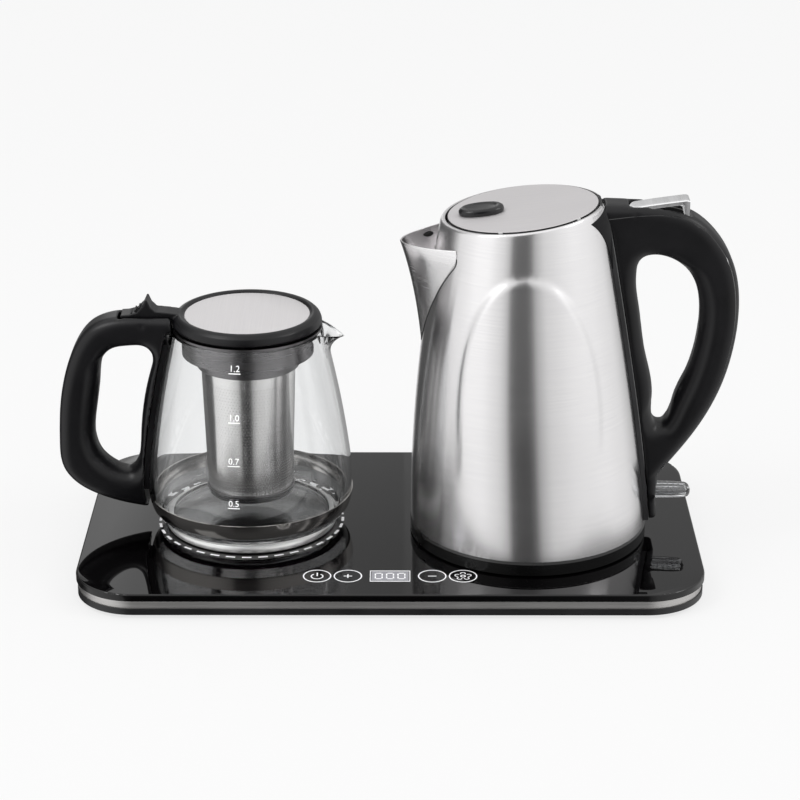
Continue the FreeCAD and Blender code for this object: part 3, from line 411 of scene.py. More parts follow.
ribbon(marks, bud, print_line, ink_level, closed=True)
for petal in arc_points(x, control_line_y, petal_reach, 90, 450, petals)[:-1]:
    outward = math.degrees(math.atan2(petal[1] - control_line_y, petal[0] - x))
    ribbon(marks, arc_points(*petal, petal_radius, outward - 120, outward + 120, 12), petal_line,
           ink_level)


def display_corners(inset):
    """The display's four corners, moved inwards."""
    return [(x * (display_x - inset), display_low + inset if low else display_high - inset)
            for x, low in ((-1, True), (1, True), (1, False), (-1, False))]


ribbon(marks, display_corners(0.0), display_line, ink_level, closed=True)
print_on_glass("touch_marks", marks, white_print_painted_glow)

display_grey = speckled_ink("display_window", 400.0, (0.30, 0.30, 0.33), (0.36, 0.36, 0.39),
                            Roughness=0.2)
window = bmesh.new()
window.faces.new([window.verts.new((*c, ink_level - 0.005 * mm))
                  for c in display_corners(window_inset)])
print_on_glass("display_window", window, display_grey)

digits = bmesh.new()
for digit in (-1, 0, 1):
    x, y = digit * digit_pitch, (display_low + display_high) / 2
    for x0, y0, x1, y1 in ((-1, 1, 1, 1), (-1, -1, 1, -1), (-1, 0, -1, 1), (1, 0, 1, 1),
                           (-1, -1, -1, 0), (1, -1, 1, 0)):
        gap = Vector((segment_gap, 0) if y0 == y1 else (0, segment_gap))
        first = Vector((x + x0 * digit_half_x, y + y0 * digit_half_y)) + gap
        last = Vector((x + x1 * digit_half_x, y + y1 * digit_half_y)) - gap
        ribbon(digits, [first, last], segment_line, ink_level + print_thick)
print_on_glass("display_digits", digits, white_print_painted_glow)

# ---------------------------------------------------------------- ring of dashes
# The warming place is marked by a circle of short straight dashes round the foot of the teapot.
# They are printed with the same ink as the controls.
dash_count, dash_radius = 36, 58.9 * mm
dash_long, dash_wide = 6.0 * mm, 1.7 * mm
ring_low, ring_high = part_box("pot_foot_ring")
pot_origin = Vector(((ring_low.x + ring_high.x) / 2, (ring_low.y + ring_high.y) / 2, ring_low.z))


def new_tree(name, **kinds):
    """An empty geometry tree: its own inputs and a finish, their sockets and identifiers."""
    made = bpy.data.node_groups.new(name, "GeometryNodeTree")
    for way in ("INPUT", "OUTPUT"):
        made.interface.new_socket("Geometry", in_out=way, socket_type="NodeSocketGeometry")
    identifiers = {}
    for label, kind in [*kinds.items(), ("Finish", "Material")]:
        identifiers[label] = made.interface.new_socket(
            label.replace("_", " "), in_out="INPUT", socket_type="NodeSocket" + kind).identifier
    return made, made.nodes.new("NodeGroupInput").outputs, identifiers


def finish_tree(made, given, geometry):
    """Ends a tree: its instances are made real and given the finish."""
    real = add_node(made, "GeometryNodeRealizeInstances", Geometry=geometry)
    paint = add_node(made, "GeometryNodeSetMaterial", Geometry=real.outputs[0],
                     Material=given["Finish"])
    add_node(made, "NodeGroupOutput", Geometry=paint.outputs[0])


def plain_mesh(holder):
    """The mesh that an object's modifiers make; they and the object are removed."""
    graph = bpy.context.evaluated_depsgraph_get()
    mesh = bpy.data.meshes.new_from_object(holder.evaluated_get(graph))
    holder.modifiers.clear()
    bpy.data.objects.remove(holder)
    return mesh


def tree_piece(name, made, identifiers, base=None, **values):
    """Runs a geometry tree once, with its inputs set, and keeps its result as a plain mesh."""
    holder = new_object(name + "_maker", base or bpy.data.meshes.new(name + "_base"))
    modifier = holder.modifiers.new("maker", "NODES")
    modifier.node_group = made
    for label, value in values.items():
        modifier[identifiers[label]] = value
    return new_piece(name, plain_mesh(holder))


made, given, ids = new_tree("dash_ring", Count="Int", Radius="Float", Dash_Size="Vector",
                            Centre="Vector")
circle = add_node(made, "GeometryNodeMeshCircle", Vertices=given["Count"], Radius=given["Radius"])
dash = add_node(made, "GeometryNodeMeshCube", Size=given["Dash Size"])
index = made.nodes.new("GeometryNodeInputIndex").outputs[0]
spin = node_math(made, "MULTIPLY", index, node_math(made, "DIVIDE", 2 * math.pi, given["Count"]))
copies = add_node(made, "GeometryNodeInstanceOnPoints", Points=circle.outputs[0],
                  Instance=dash.outputs[0],
                  Rotation=add_node(made, "ShaderNodeCombineXYZ", Z=spin).outputs[0])
moved = add_node(made, "GeometryNodeTransform", Geometry=copies.outputs[0],
                 Translation=given["Centre"])
finish_tree(made, given, moved.outputs[0])
dashes = tree_piece("warming_ring_marks", made, ids, Count=dash_count, Radius=dash_radius,
                    Dash_Size=(dash_wide, dash_long, print_thick), Finish=white_print_painted_glow,
                    Centre=(pot_origin.x, pot_origin.y, glass_level + print_thick / 2))
fit(dashes, "tray", "display")

# ---------------------------------------------------------------- tray casing
# A brushed steel band is wrapped round the plastic frame below the glass. The pan closes the
# tray from below on four rubber feet, and the cord's gland sits in the rear wall.
grain_group, given, end = shader_group(
    "moulded_grain",
    [("Place", "NodeSocketVector", (0, 0, 0)), ("Fineness", "NodeSocketFloat", 2500.0)],
    ["Height", "Cloud"])
set_inputs(grain_group, end, Cloud=noise_in(grain_group, given["Place"], 28.0, 4.0),
           Height=noise_in(grain_group, given["Place"], given["Fineness"], 2.0))

# Brushing: long fine scratches, made by stretching noise with a different scale on each axis.
brush_group, given, end = shader_group(
    "brush_lines",
    [("Place", "NodeSocketVector", (0, 0, 0)), ("Stretch", "NodeSocketVector", (40, 40, 4000))],
    ["Line", "Broad"])
stretched = node_math(brush_group, "MULTIPLY", given["Place"], given["Stretch"],
                      kind="ShaderNodeVectorMath")
set_inputs(brush_group, end, Line=noise_in(brush_group, stretched, 1.0, 5.0, 0.7),
           Broad=noise_in(brush_group, stretched, 0.12, 3.0, 0.6))
dust_grey = (0.25, 0.25, 0.26)


def moulded_plastic(name, dark, light, dull, shiny, fineness=2600.0, depth=0.02 * mm, **values):
    """Moulded plastic: cloudy tone, uneven gloss, a fine spark-eroded grain and settled dust."""
    material, tree, shader, place = new_finish(name, **values)
    grain = use_group(tree, grain_group, Place=place, Fineness=fineness)
    dust = use_group(tree, dust_group, Place=place, Amount=0.12)
    tone = two_tones(tree, level_map(tree, grain["Cloud"], 0.35, 0.65), dark, light)
    set_inputs(tree, shader, Base_Color=two_tones(tree, dust["Mask"], tone, dust_grey),
               Roughness=level_map(tree, grain["Cloud"], 0.3, 0.7, shiny, dull),
               Normal=bump(tree, grain["Height"], depth))
    return material


def brushed_metal(name, dark, light, dull, shiny, stretch, turned=None, depth=0.004 * mm, **values):
    """Brushed metal: tone, gloss and relief follow the scratches; turned names a UV map."""
    material, tree, shader, place = new_finish(name, Metallic=1.0, **values)
    lines = use_group(tree, brush_group, Place=place, Stretch=stretch)
    smears = use_group(tree, smear_group, Place=place, Size=26.0, Clean=0.0, Smeared=1.0)
    share = level_map(tree, lines["Line"], 0.3, 0.7)
    gloss = level_map(tree, lines["Broad"], 0.3, 0.7, shiny, dull)
    set_inputs(tree, shader, Base_Color=two_tones(tree, share, dark, light),
               Roughness=node_math(tree, "MULTIPLY_ADD", smears["Patch"], 0.04, gloss),
               Normal=bump(tree, lines["Line"], depth))
    if turned:
        round_about = tree.nodes.new("ShaderNodeTangent")
        round_about.direction_type = "UV_MAP"
        round_about.uv_map = turned
        set_inputs(tree, shader, Tangent=round_about.outputs[0])
    return material


band_steel = brushed_metal("band_steel", (0.42, 0.41, 0.40), (0.66, 0.65, 0.64), 0.42, 0.32,
                           (30, 30, 6000))
casing_black = moulded_plastic("casing_black", (0.004, 0.004, 0.005), (0.009, 0.009, 0.010),
                               0.42, 0.30)
foot_rubber = moulded_plastic("foot_rubber", (0.02, 0.02, 0.02), (0.035, 0.035, 0.035), 0.9, 0.75,
                              fineness=1200.0, depth=0.05 * mm)
polished_copy("trim_band", "tray_band", band_steel)
polished_copy("top_frame", "tray_frame", casing_black)
polished_copy("bottom_pan", "tray_pan", casing_black)
polished_copy("cable_gland", "cord_gland", casing_black)
polished_copy("rubber_feet", "tray_feet", foot_rubber)

# ---------------------------------------------------------------- screws under the tray
# Eight zinc-plated screws hold the pan to the frame from below. Each head has a cross recess,
# made of two crossed black slots that stand a hair proud of the head; their black is painted shade, so
# that they read as cuts.
screw_room = 8.0 * mm
recess_slot = (3.2 * mm, 0.7 * mm, 0.08 * mm)
zinc = brushed_metal("zinc_plate", (0.40, 0.40, 0.42), (0.62, 0.62, 0.63), 0.42, 0.30,
                     (1500, 1500, 300))
# Black painted shade, laid where recesses and holes are, in place of their real shade.
recess_painted_shade = moulded_plastic("recess_painted_shade", (0.01, 0.01, 0.01), (0.02, 0.02, 0.02), 0.8, 0.6)
polished_copy("housing_screws", "tray_screws", zinc)

screw_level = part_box("housing_screws")[0].z
head_points = [v.co.to_2d() for v in frame["nodes"]["housing_screws"].data.vertices
               if v.co.z < screw_level + 0.01 * mm]
screw_spots = []
for point in head_points:
    if all((point - spot).length > screw_room for spot in screw_spots):
        near = [p for p in head_points if (p - point).length < screw_room]
        screw_spots.append(sum(near, Vector((0, 0))) / len(near))
spots = bpy.data.meshes.new("screw_spots")
spots.from_pydata([(*spot, screw_level) for spot in screw_spots], [], [])

made, given, ids = new_tree("cross_recess", Slot_Size="Vector")
joined = made.nodes.new("GeometryNodeJoinGeometry")
for turned in (0.0, math.pi / 2):
    bar = add_node(made, "GeometryNodeMeshCube", Size=given["Slot Size"])
    placed = add_node(made, "GeometryNodeTransform", Geometry=bar.outputs[0],
                      Rotation=(0, 0, turned))
    made.links.new(placed.outputs[0], joined.inputs[0])
copies = add_node(made, "GeometryNodeInstanceOnPoints", Points=given["Geometry"],
                  Instance=joined.outputs[0])
finish_tree(made, given, copies.outputs[0])
fit(tree_piece("screw_recesses", made, ids, spots, Slot_Size=recess_slot, Finish=recess_painted_shade),
    "tray", "steel_fasteners")

# ---------------------------------------------------------------- electrics in the tray
# A control board carries the display and four touch springs. A power board with its relay and
# transformer feeds both vessels through insulated leads. Foil heats the warming place.


def dress(node, material):
    """Gives a solid of the frame its finish."""
    for socket in frame["nodes"][node].material_slots:
        socket.material = material


def laid_pattern(name, scale, gap, first, second, between, depth, **values):
    """A fine regular pattern in relief, such as a board's tracks or a screen's wires."""
    material, tree, shader, place = new_finish(name, **values)
    cells = add_node(tree, "ShaderNodeTexBrick", Vector=place, Scale=scale, Mortar_Size=gap,
                     Color1=first, Color2=second, Mortar=between).outputs
    set_inputs(tree, shader, Base_Color=cells["Color"], Normal=bump(tree, cells["Fac"], depth))
    return material


board_green = laid_pattern("board_green", 160.0, 0.03, (0.01, 0.09, 0.03), (0.008, 0.072, 0.024),
                           (0.03, 0.2, 0.07), 0.03 * mm, Roughness=0.35, Coat_Weight=0.4)
foil = brushed_metal("rolled_foil", (0.62, 0.62, 0.63), (0.82, 0.82, 0.83), 0.38, 0.26,
                     (60, 2500, 60))
for node, material in (("control_board", board_green), ("power_board", board_green),
                       ("warming_heater", foil), ("heater_clamp", foil)):
    dress(node, material)
dress("display_module", moulded_plastic("display_block", (0.25, 0.26, 0.28), (0.35, 0.36, 0.38),
                                        0.4, 0.25))
dress("touch_springs", brushed_metal("spring_wire", (0.45, 0.44, 0.42), (0.62, 0.61, 0.58), 0.35,
                                     0.25, (900, 900, 900)))
dress("wiring_leads", moulded_plastic("lead_red", (0.42, 0.03, 0.02), (0.52, 0.05, 0.03), 0.6, 0.45))
dress("warming_thermostat", moulded_plastic("thermostat_case", (0.60, 0.57, 0.50),
                                            (0.72, 0.69, 0.62), 0.7, 0.5, 900.0, 0.05 * mm))

# ---------------------------------------------------------------- kettle connector
# The round connector stands up through the glass. It is moulded in black nylon round a brass
# centre pin and a brass ring, so that the kettle can be set down at any angle.
brass = brushed_metal("contact_brass", (0.62, 0.42, 0.14), (0.80, 0.58, 0.24), 0.32, 0.18,
                      (300, 300, 2500))
polished_copy("kettle_connector", "round_connector", casing_black)
polished_copy("connector_contacts", "connector_brass", brass)

# ---------------------------------------------------------------- kettle body
# One drawn shell of 1 mm stainless steel, brushed round about, whose mouth is rolled inwards on
# a slope. A shallow arched panel stands out on each side. The spout is welded over a slot.
base_low, base_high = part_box("kettle_base_ring")
shell_low, shell_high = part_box("kettle_shell")
kettle_origin = Vector(((base_low.x + base_high.x) / 2, (base_low.y + base_high.y) / 2, base_low.z))
foot_radius = (shell_high.y - shell_low.y) / 2
foot_level = shell_low.z - kettle_origin.z
neck_radius, neck_level = 51.0 * mm, 207.0 * mm
lean, steel_wall = 6.2 * mm, 1.0 * mm
mouth_x, mouth_level, mouth_tilt = -6.6 * mm, 213.7 * mm, math.radians(6.8)
mouth_radius, rolled_edge = 48.1 * mm, 1.5 * mm
on_mouth = Matrix.Translation(kettle_origin + Vector((mouth_x, 0, mouth_level))) @ Matrix.Rotation(
    -mouth_tilt, 4, "Y")


def body_share(level):
    """How far up the wall a height is, from 0 at the foot to 1 at the neck."""
    return max(0.0, (level - foot_level) / (neck_level - foot_level))


def body_radius(level):
    """The wall's radius, which narrows faster towards the neck."""
    return foot_radius - (foot_radius - neck_radius) * body_share(level) ** 1.5


def body_centre(level):
    """How far the wall's centre lies from the base's, as the body leans to the spout."""
    return -lean * math.sin(math.pi / 2 * body_share(level))


def mouth_plane(x):
    """The height of the sloping mouth over a place on the kettle."""
    return mouth_level + (x - mouth_x) * math.tan(mouth_tilt)


def wall_top(angle, grow, drop):
    """Where the wall meets a plane that lies a little below the mouth, at an angle round it."""
    level = mouth_level
    for _ in range(8):
        x = body_centre(level) + (body_radius(level) + grow) * math.cos(angle)
        level = mouth_plane(x) - drop
    return level


# The embossed panel: its reach to each side, and how square each shoulder of its arch is.
panel_top, panel_height = 189.0 * mm, 105.0 * mm
panel_left, panel_right = 42.0 * mm, 50.0 * mm
arch_left_bow, arch_right_bow, arch_round = 2.6, 2, 0.47
panel_depth, panel_edge = -1.5 * mm, 5.6 * mm
panel_fade_low, panel_fade_high = 48.0 * mm, 100.0 * mm


def arch_edges(share):
    """The arch's left and right edge, by the share of its height from the top."""
    return (mouth_x - panel_left * (1 - (1 - share) ** arch_left_bow) ** arch_round,
            mouth_x + panel_right * (1 - (1 - share) ** arch_right_bow) ** arch_round)


# Points (x, level) round the arch, from its left foot over the top to its right foot.
arch_shares = [i / 40 for i in range(41)]
arch_left, arch_right = [[Vector((arch_edges(t)[side], panel_top - panel_height * t))
                          for t in arch_shares] for side in (0, 1)]
arch = ([Vector((arch_left[-1].x, 0))] + arch_left[::-1] + arch_right[1:]
        + [Vector((arch_right[-1].x, 0))])


def smooth_step(value):
    """Eases a share from 0 to 1, and holds it there."""
    value = min(1.0, max(0.0, value))
    return value * value * (3 - 2 * value)


def panel_press(x, level):
    """How deep the side is pressed in at a place; the panel stands out, so it is below zero."""
    here = Vector((x, level))
    left, right = arch_edges(min(1.0, max(0.0, (panel_top - level) / panel_height)))
    if level > panel_top or not left < x < right:
        return 0.0
    away = min((here - a - (b - a) * min(1, max(0, (here - a).dot(b - a) / (b - a).length_squared))
                ).length for a, b in zip(arch, arch[1:]))
    fade = smooth_step((level - panel_fade_low) / (panel_fade_high - panel_fade_low))
    return panel_depth * fade * smooth_step(away / panel_edge)


def side_point(angle, level, wall=0.0):
    """A point of the shell's side, or of its inside a wall's thickness in."""
    x = body_centre(level) + body_radius(level) * math.cos(angle)
    reach = body_radius(level) - wall - panel_press(x, level)
    return Vector((body_centre(level) + reach * math.cos(angle), reach * math.sin(angle), level))


shell_steps, outer_rows, inner_rows, roll_rows = 288, 130, 24, 6


def shell_column(angle):
    """The wall's section at one angle: up the outside, over the rolled edge, down the inside."""
    top = wall_top(angle, 0.0, 0.0)
    rise = top - rolled_edge - foot_level
    points = [side_point(angle, foot_level + rise * i / outer_rows) for i in range(outer_rows + 1)]
    last = points[-1]
    corner = Vector((body_centre(top) + body_radius(top) * math.cos(angle),
                     body_radius(top) * math.sin(angle), top))
    middle = Vector((mouth_x, 0, mouth_level))
    inward = (middle - corner).normalized()
    rolled = corner + inward * rolled_edge
    for i in range(1, roll_rows + 1):
        t = i / roll_rows
        points.append(last * (1 - t) ** 2 + corner * 2 * t * (1 - t) + rolled * t * t)
    lip = middle - inward * mouth_radius
    points += [lip, lip - Vector((-math.sin(mouth_tilt), 0, math.cos(mouth_tilt))) * steel_wall]
    under = wall_top(angle, -steel_wall, steel_wall)
    return points + [side_point(angle, under + (foot_level - under) * i / inner_rows, steel_wall)
                     for i in range(inner_rows + 1)]


def turn_map(mesh, origin):
    """A UV map of turns round an upright axis, and height, which the brushing follows."""
    layer = mesh.uv_layers.new(name="turn")
    for face in mesh.polygons:
        turns = []
        for corner in face.loop_indices:
            co = mesh.vertices[mesh.loops[corner].vertex_index].co
            turn = math.atan2(co.y - origin.y, co.x - origin.x) / (2 * math.pi)
            turns.append((corner, turn, co.z))
        base = turns[0][1]
        for corner, turn, level in turns:
            turn += round(base - turn)
            layer.data[corner].uv = (turn, level * 4)


columns = [shell_column(2 * math.pi * i / shell_steps) for i in range(shell_steps)]
rows = len(columns[0])
shell_mesh = bpy.data.meshes.new("kettle_body")
shell_mesh.from_pydata(
    [(p + kettle_origin)[:] for column in columns for p in column], [],
    [(i * rows + j, (i + 1) % shell_steps * rows + j,
      (i + 1) % shell_steps * rows + (j + 1) % rows, i * rows + (j + 1) % rows)
     for i in range(shell_steps) for j in range(rows)])
turn_map(shell_mesh, kettle_origin)


def cut_out(mesh, cutters, operation="DIFFERENCE"):
    """Cuts solids out of a closed mesh, or keeps what they share with it."""
    holder = new_object("cut_holder", mesh)
    tools = [new_object("cutter", cutter) for cutter in cutters]
    for tool in tools:
        modifier = holder.modifiers.new("cut", "BOOLEAN")
        modifier.operation = operation
        modifier.solver = "MANIFOLD"
        modifier.object = tool
    result = plain_mesh(holder)
    for tool in tools:
        bpy.data.objects.remove(tool)
    return result


def block(name, outline, along):
    """A flat outline carried along a vector."""
    shape = bmesh.new()
    carry(shape, [shape.faces.new([shape.verts.new(p) for p in outline])], along)
    return as_mesh(name, shape)


def add_box(shape, size, matrix):
    """A box of a size, set in its place by a matrix."""
    verts = bmesh.ops.create_cube(shape, size=1.0)["verts"]
    bmesh.ops.transform(shape, verts=verts, matrix=matrix @ Matrix.Diagonal((*size, 1)))


spout_tip, spout_crest = kettle_origin.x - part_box("kettle_spout")[0].x, 193.4 * mm
slot_half, slot_low, slot_high = 8.5 * mm, 150.0 * mm, 190.0 * mm
slot_outline = (arc_points(0, slot_high - slot_half, slot_half, 0, 180, 24)
                + arc_points(0, slot_low + slot_half, slot_half, 180, 360, 24))
pour_cutter = block("slot_cutter", [kettle_origin + Vector((-spout_tip, y, z))
                                    for y, z in slot_outline], (spout_tip / 2, 0, 0))
pin_low, pin_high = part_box("lid_hinge_pin")
notch_long, notch_deep, notch_rise, notch_clear = 93 * mm, 14.8 * mm, 2.6 * mm, 0.6 * mm
notch_wide = pin_high.y - pin_low.y + 2 * notch_clear
notch = bmesh.new()
add_box(notch, (notch_long, notch_wide, notch_deep),
        on_mouth @ Matrix.Translation((notch_long / 2, 0, notch_rise)))
shell_mesh = cut_out(shell_mesh, [pour_cutter, as_mesh("notch_cutter", notch)])

body_steel = brushed_metal("body_steel", (0.75, 0.74, 0.75), (0.83, 0.82, 0.82), 0.23, 0.20,
                           (25, 25, 5200), turned="turn", depth=0.0003 * mm, Anisotropic=0.94,
                           Anisotropic_Rotation=0.25)
fit(new_piece("kettle_body", shell_mesh, body_steel, 35), "kettle", "brushed_steel",
    "kettle_shell")

# ---------------------------------------------------------------- kettle spout
# A folded steel beak, open at the top, welded to the body along a V. Its cheeks bulge and close
# in again at the rim, which is turned over to a bead. A fine dark bead runs along the weld; its black is
# painted shadow in the crease there.
spout_foot, spout_rise = 128.0 * mm, 3.0 * mm
spout_half, spout_corner, corner_share = 37.2 * mm, 4.4 * mm, 0.88
spout_start, spout_power = 0.012, 0.97
cheek_bow, cheek_sink = 0.25, 0.3 * mm
spout_rows, spout_cols, bead_steps = 46, 49, 6


def spout_width(share):
    """Half the width of the V on the wall, which closes in again at the rim in a round corner."""
    corner = max(0.0, (share - corner_share) / (1 - corner_share))
    return spout_half * share ** spout_power - spout_corner * corner ** 2


def cubic(t, a, b, c, d):
    """A place on a curve that leaves a and reaches d, drawn towards b and c."""
    return (1 - t) ** 3 * a + 3 * (1 - t) ** 2 * t * b + 3 * (1 - t) * t * t * c + t ** 3 * d


def spout_point(side, share, wall):
    """A point of the beak: side runs from -1 to 1 round it, share from its foot to its rim."""
    level = spout_foot + (spout_crest - spout_foot) * share
    half = max(spout_width(share) - wall, 0.1 * mm)
    wall_x = body_centre(level) - body_radius(level)
    tip = wall_x - (spout_tip + wall_x) * share ** spout_power + wall * 1.3
    root = body_centre(level) - math.sqrt(body_radius(level) ** 2 - half ** 2) + cheek_sink
    bow = (tip - cheek_bow * root) / (1 - cheek_bow)
    t = (side + 1) / 2
    x = cubic(t, root, bow, bow, root)
    rim_lift = spout_rise * (x + spout_tip) / (spout_tip + root) * share ** 3
    return Vector((x, cubic(t, -1, -0.2, 0.2, 1) * half, level + rim_lift))


def spout_columns(wall):
    """The beak's surface, or its inside a wall's thickness in, as columns of points."""
    return [[spout_point(2 * i / (spout_cols - 1) - 1,
                         spout_start + (1 - spout_start) * j / spout_rows, wall)
             for j in range(spout_rows + 1)] for i in range(spout_cols)]


def skin(shape, rings, hoop=False):
    """Joins rings of points with faces, closed by a face at each end or into a hoop."""
    faces = []
    for a, b in zip(rings, rings[1:] + rings[:1] if hoop else rings[1:]):
        for j in range(len(a)):
            nxt = (j + 1) % len(a)
            faces.append(shape.faces.new((a[j], b[j], b[nxt], a[nxt])))
    if not hoop:
        faces += [shape.faces.new(rings[0]), shape.faces.new(rings[-1][::-1])]
    return faces


beak = bmesh.new()
loops = []
for out_column, in_column in zip(spout_columns(0.0), spout_columns(steel_wall)):
    middle, half_way = (out_column[-1] + in_column[-1]) / 2, (out_column[-1] - in_column[-1]) / 2
    bead = [middle + half_way * math.cos(a) + Vector((0, 0, half_way.length * math.sin(a)))
            for a in (math.pi * i / bead_steps for i in range(1, bead_steps))]
    loops.append([beak.verts.new(p + kettle_origin) for p in out_column + bead + in_column[::-1]])
skin(beak, loops)
beak_mesh = as_mesh("kettle_beak", beak)
turn_map(beak_mesh, kettle_origin)
spout_steel = brushed_metal("spout_steel", (0.70, 0.69, 0.70), (0.82, 0.81, 0.81), 0.27, 0.22,
                            (30, 30, 4200), turned="turn", depth=0.001 * mm, Anisotropic=0.7,
                            Anisotropic_Rotation=0.25)
fit(new_piece("kettle_beak", beak_mesh, spout_steel, 40), "kettle", "brushed_steel",
    "kettle_spout")

seam_radius, seam_stand, seam_points, seam_sides = 0.4 * mm, 0.35 * mm, 60, 8
# The seam bead's black is painted shadow along the crease of the weld.
seam_painted_shadow = moulded_plastic("seam_shadow", (0.02, 0.02, 0.02), (0.05, 0.05, 0.05), 0.6, 0.5)


def seam_bead(points):
    """A thin round bead through points, closed at both ends."""
    shape = bmesh.new()
    rings = []
    for i, here in enumerate(points):
        along = (points[min(i + 1, len(points) - 1)] - points[max(i - 1, 0)]).normalized()
        across = along.orthogonal().normalized()
        if abs(along.x) < 0.9:
            across = along.cross(Vector((1, 0, 0))).normalized()
        aside = along.cross(across)
        rings.append([shape.verts.new(here + across * seam_radius * math.cos(a)
                                      + aside * seam_radius * math.sin(a))
                      for a in (2 * math.pi * s / seam_sides for s in range(seam_sides))])
    skin(shape, rings)
    return shape


for side_name, side in (("front", -1), ("back", 1)):
    seam = []
    for j in range(seam_points):
        share = spout_start + 0.97 * j / (seam_points - 1)
        level = spout_foot + (spout_crest - spout_foot) * share
        half = spout_width(share) + seam_stand
        root = body_centre(level) - math.sqrt(body_radius(level) ** 2 - half ** 2)
        seam.append(kettle_origin + Vector((root, side * half, level)))
    name = "spout_seam_" + side_name
    fit(new_piece(name, as_mesh(name, seam_bead(seam)), seam_painted_shadow, 50), "kettle", "brushed_steel")

# A small vent is punched in the far cheek of the beak, just below its rim; it is drawn as a thin dark
# oval whose black is painted shade for the hole.
vent_side, vent_share, vent_wall = 0.70, 0.93, steel_wall * 1.1
vent_long, vent_high, vent_depth = 4.6 * mm, 2.3 * mm, 0.15 * mm
vent_middle = spout_point(vent_side, vent_share, vent_wall)
vent_along = (spout_point(vent_side + 0.02, vent_share, vent_wall) - vent_middle).normalized()
vent_up = (spout_point(vent_side, vent_share + 0.02, vent_wall) - vent_middle).normalized()
vent_mesh = bpy.data.meshes.new("beak_vent")
vent_mesh.from_pydata([vent_middle + kettle_origin + vent_along * vent_long * x + vent_up * vent_high * y
                       for x, y in arc_points(0, 0, 1, 0, 360, 28)[:-1]], [], [tuple(range(28))])
vent_piece = new_piece("beak_vent", vent_mesh, recess_painted_shade)
vent_piece.modifiers.new("depth", "SOLIDIFY").thickness = vent_depth
fit(vent_piece, "kettle", "brushed_steel")

# A woven steel screen stands behind the slot, and a moulded ring closes the wall from inside.
# The screen's dark cells are painted shade for its openings; the pale lines are its wires.
screen = laid_pattern("filter_screen_painted_shade", 900.0, 0.12, (0.02, 0.02, 0.02), (0.03, 0.03, 0.03),
                      (0.55, 0.55, 0.54), 0.05 * mm, Metallic=1.0, Roughness=0.35)
polished_copy("spout_filter", "pouring_filter", screen)
polished_copy("neck_ring", "mouth_ring", casing_black)

# ---------------------------------------------------------------- kettle base and heater
# The black base ring is snapped under the shell and its cover closes it. The plate with its
# tubular element is brazed into the foot, above the round socket that meets the connector.
base_black = moulded_plastic("base_black", (0.001, 0.001, 0.001), (0.002, 0.002, 0.002), 0.30, 0.20)
polished_copy("kettle_base_ring", "base_ring", base_black)
polished_copy("kettle_base_cover", "base_cover", casing_black)
polished_copy("coupler_socket", "base_socket", casing_black)
polished_copy("heating_plate", "kettle_floor", brushed_metal(
    "floor_steel", (0.50, 0.49, 0.48), (0.66, 0.65, 0.63), 0.34, 0.22, (700, 700, 60)))
dress("heating_element", brushed_metal("element_metal", (0.22, 0.21, 0.20), (0.40, 0.38, 0.35),
                                       0.60, 0.42, (400, 400, 400)))
dress("steam_switch", moulded_plastic("switch_nylon", (0.55, 0.54, 0.50), (0.66, 0.65, 0.60),
                                      0.55, 0.40))

# ---------------------------------------------------------------- kettle handle
# Two black mouldings: the frame, screwed through the steel from inside, and the outer cover that
# clips on it. They meet in a crease just inside the outer edge, and their cheeks are rounded
# towards the finger opening. A gasket lies between frame and steel.
handle_voxel, handle_rounds = 0.9 * mm, 10
grip_sharp, grip_soft, grip_half = 2.0 * mm, 10.5 * mm, 13.0 * mm
plain_blend, low_blend, top_blend = 7 * mm, 18 * mm, 16 * mm
plug_spare, plug_long, plug_inset = 0.35 * mm, 2.6 * mm, 1.1 * mm


def through(points, steps):
    """A smooth line through points, as short straight pieces."""
    line = [Vector(p) for p in points]
    padded = [line[0] * 2 - line[1]] + line + [line[-1] * 2 - line[-2]]
    out = []
    for p0, p1, p2, p3 in zip(padded, padded[1:], padded[2:], padded[3:]):
        chord = (p2 - p1).length
        lead = (p2 - p0) / ((p1 - p0).length + chord) * chord
        tail = (p3 - p1) / ((p3 - p2).length + chord) * chord
        for i in range(steps):
            t = i / steps
            out.append(p1 * (2 * t ** 3 - 3 * t ** 2 + 1) + lead * (t ** 3 - 2 * t ** 2 + t)
                       + p2 * (3 * t ** 2 - 2 * t ** 3) + tail * (t ** 3 - t ** 2))
    return out + [line[-1]]


def remeshed(name, mesh, voxel, rounds):
    """A solid mesh made anew from even faces, then eased."""
    holder = new_object(name + "_holder", mesh)
    remesh = holder.modifiers.new("remesh", "REMESH")
    remesh.mode = "VOXEL"
    remesh.voxel_size = voxel
    ease = holder.modifiers.new("ease", "SMOOTH")
    ease.factor = 0.5
    ease.iterations = rounds
    return plain_mesh(holder)


def round_grip(mesh, opening, plain_side, low, top, origin):
    """Rounds the cheeks towards the finger opening, except along its plain side and its top."""
    line = through(opening + opening[:1], 14)
    near = KDTree(len(line))
    for i, p in enumerate(line):
        near.insert((p.x, 0, p.y), i)
    near.balance()
    start, along = plain_side[0], (plain_side[1] - plain_side[0]).normalized()
    for vert in mesh.vertices:
        here = vert.co - origin
        place, number, away = near.find((here.x, 0, here.z))
        offset = Vector((place.x, place.z)) - start
        aside = abs(offset.x * along.y - offset.y * along.x)
        away_from_plain = max(smooth_step(aside / plain_blend),
                              smooth_step((low - place.z) / low_blend))
        deep = grip_sharp + (grip_soft - grip_sharp) * away_from_plain * smooth_step(
            (top - place.z) / top_blend)
        if away < deep:
            bound = grip_half * math.sqrt(1 - (1 - away / deep) ** 2)
            vert.co.y = origin.y + max(-bound, min(bound, here.y))


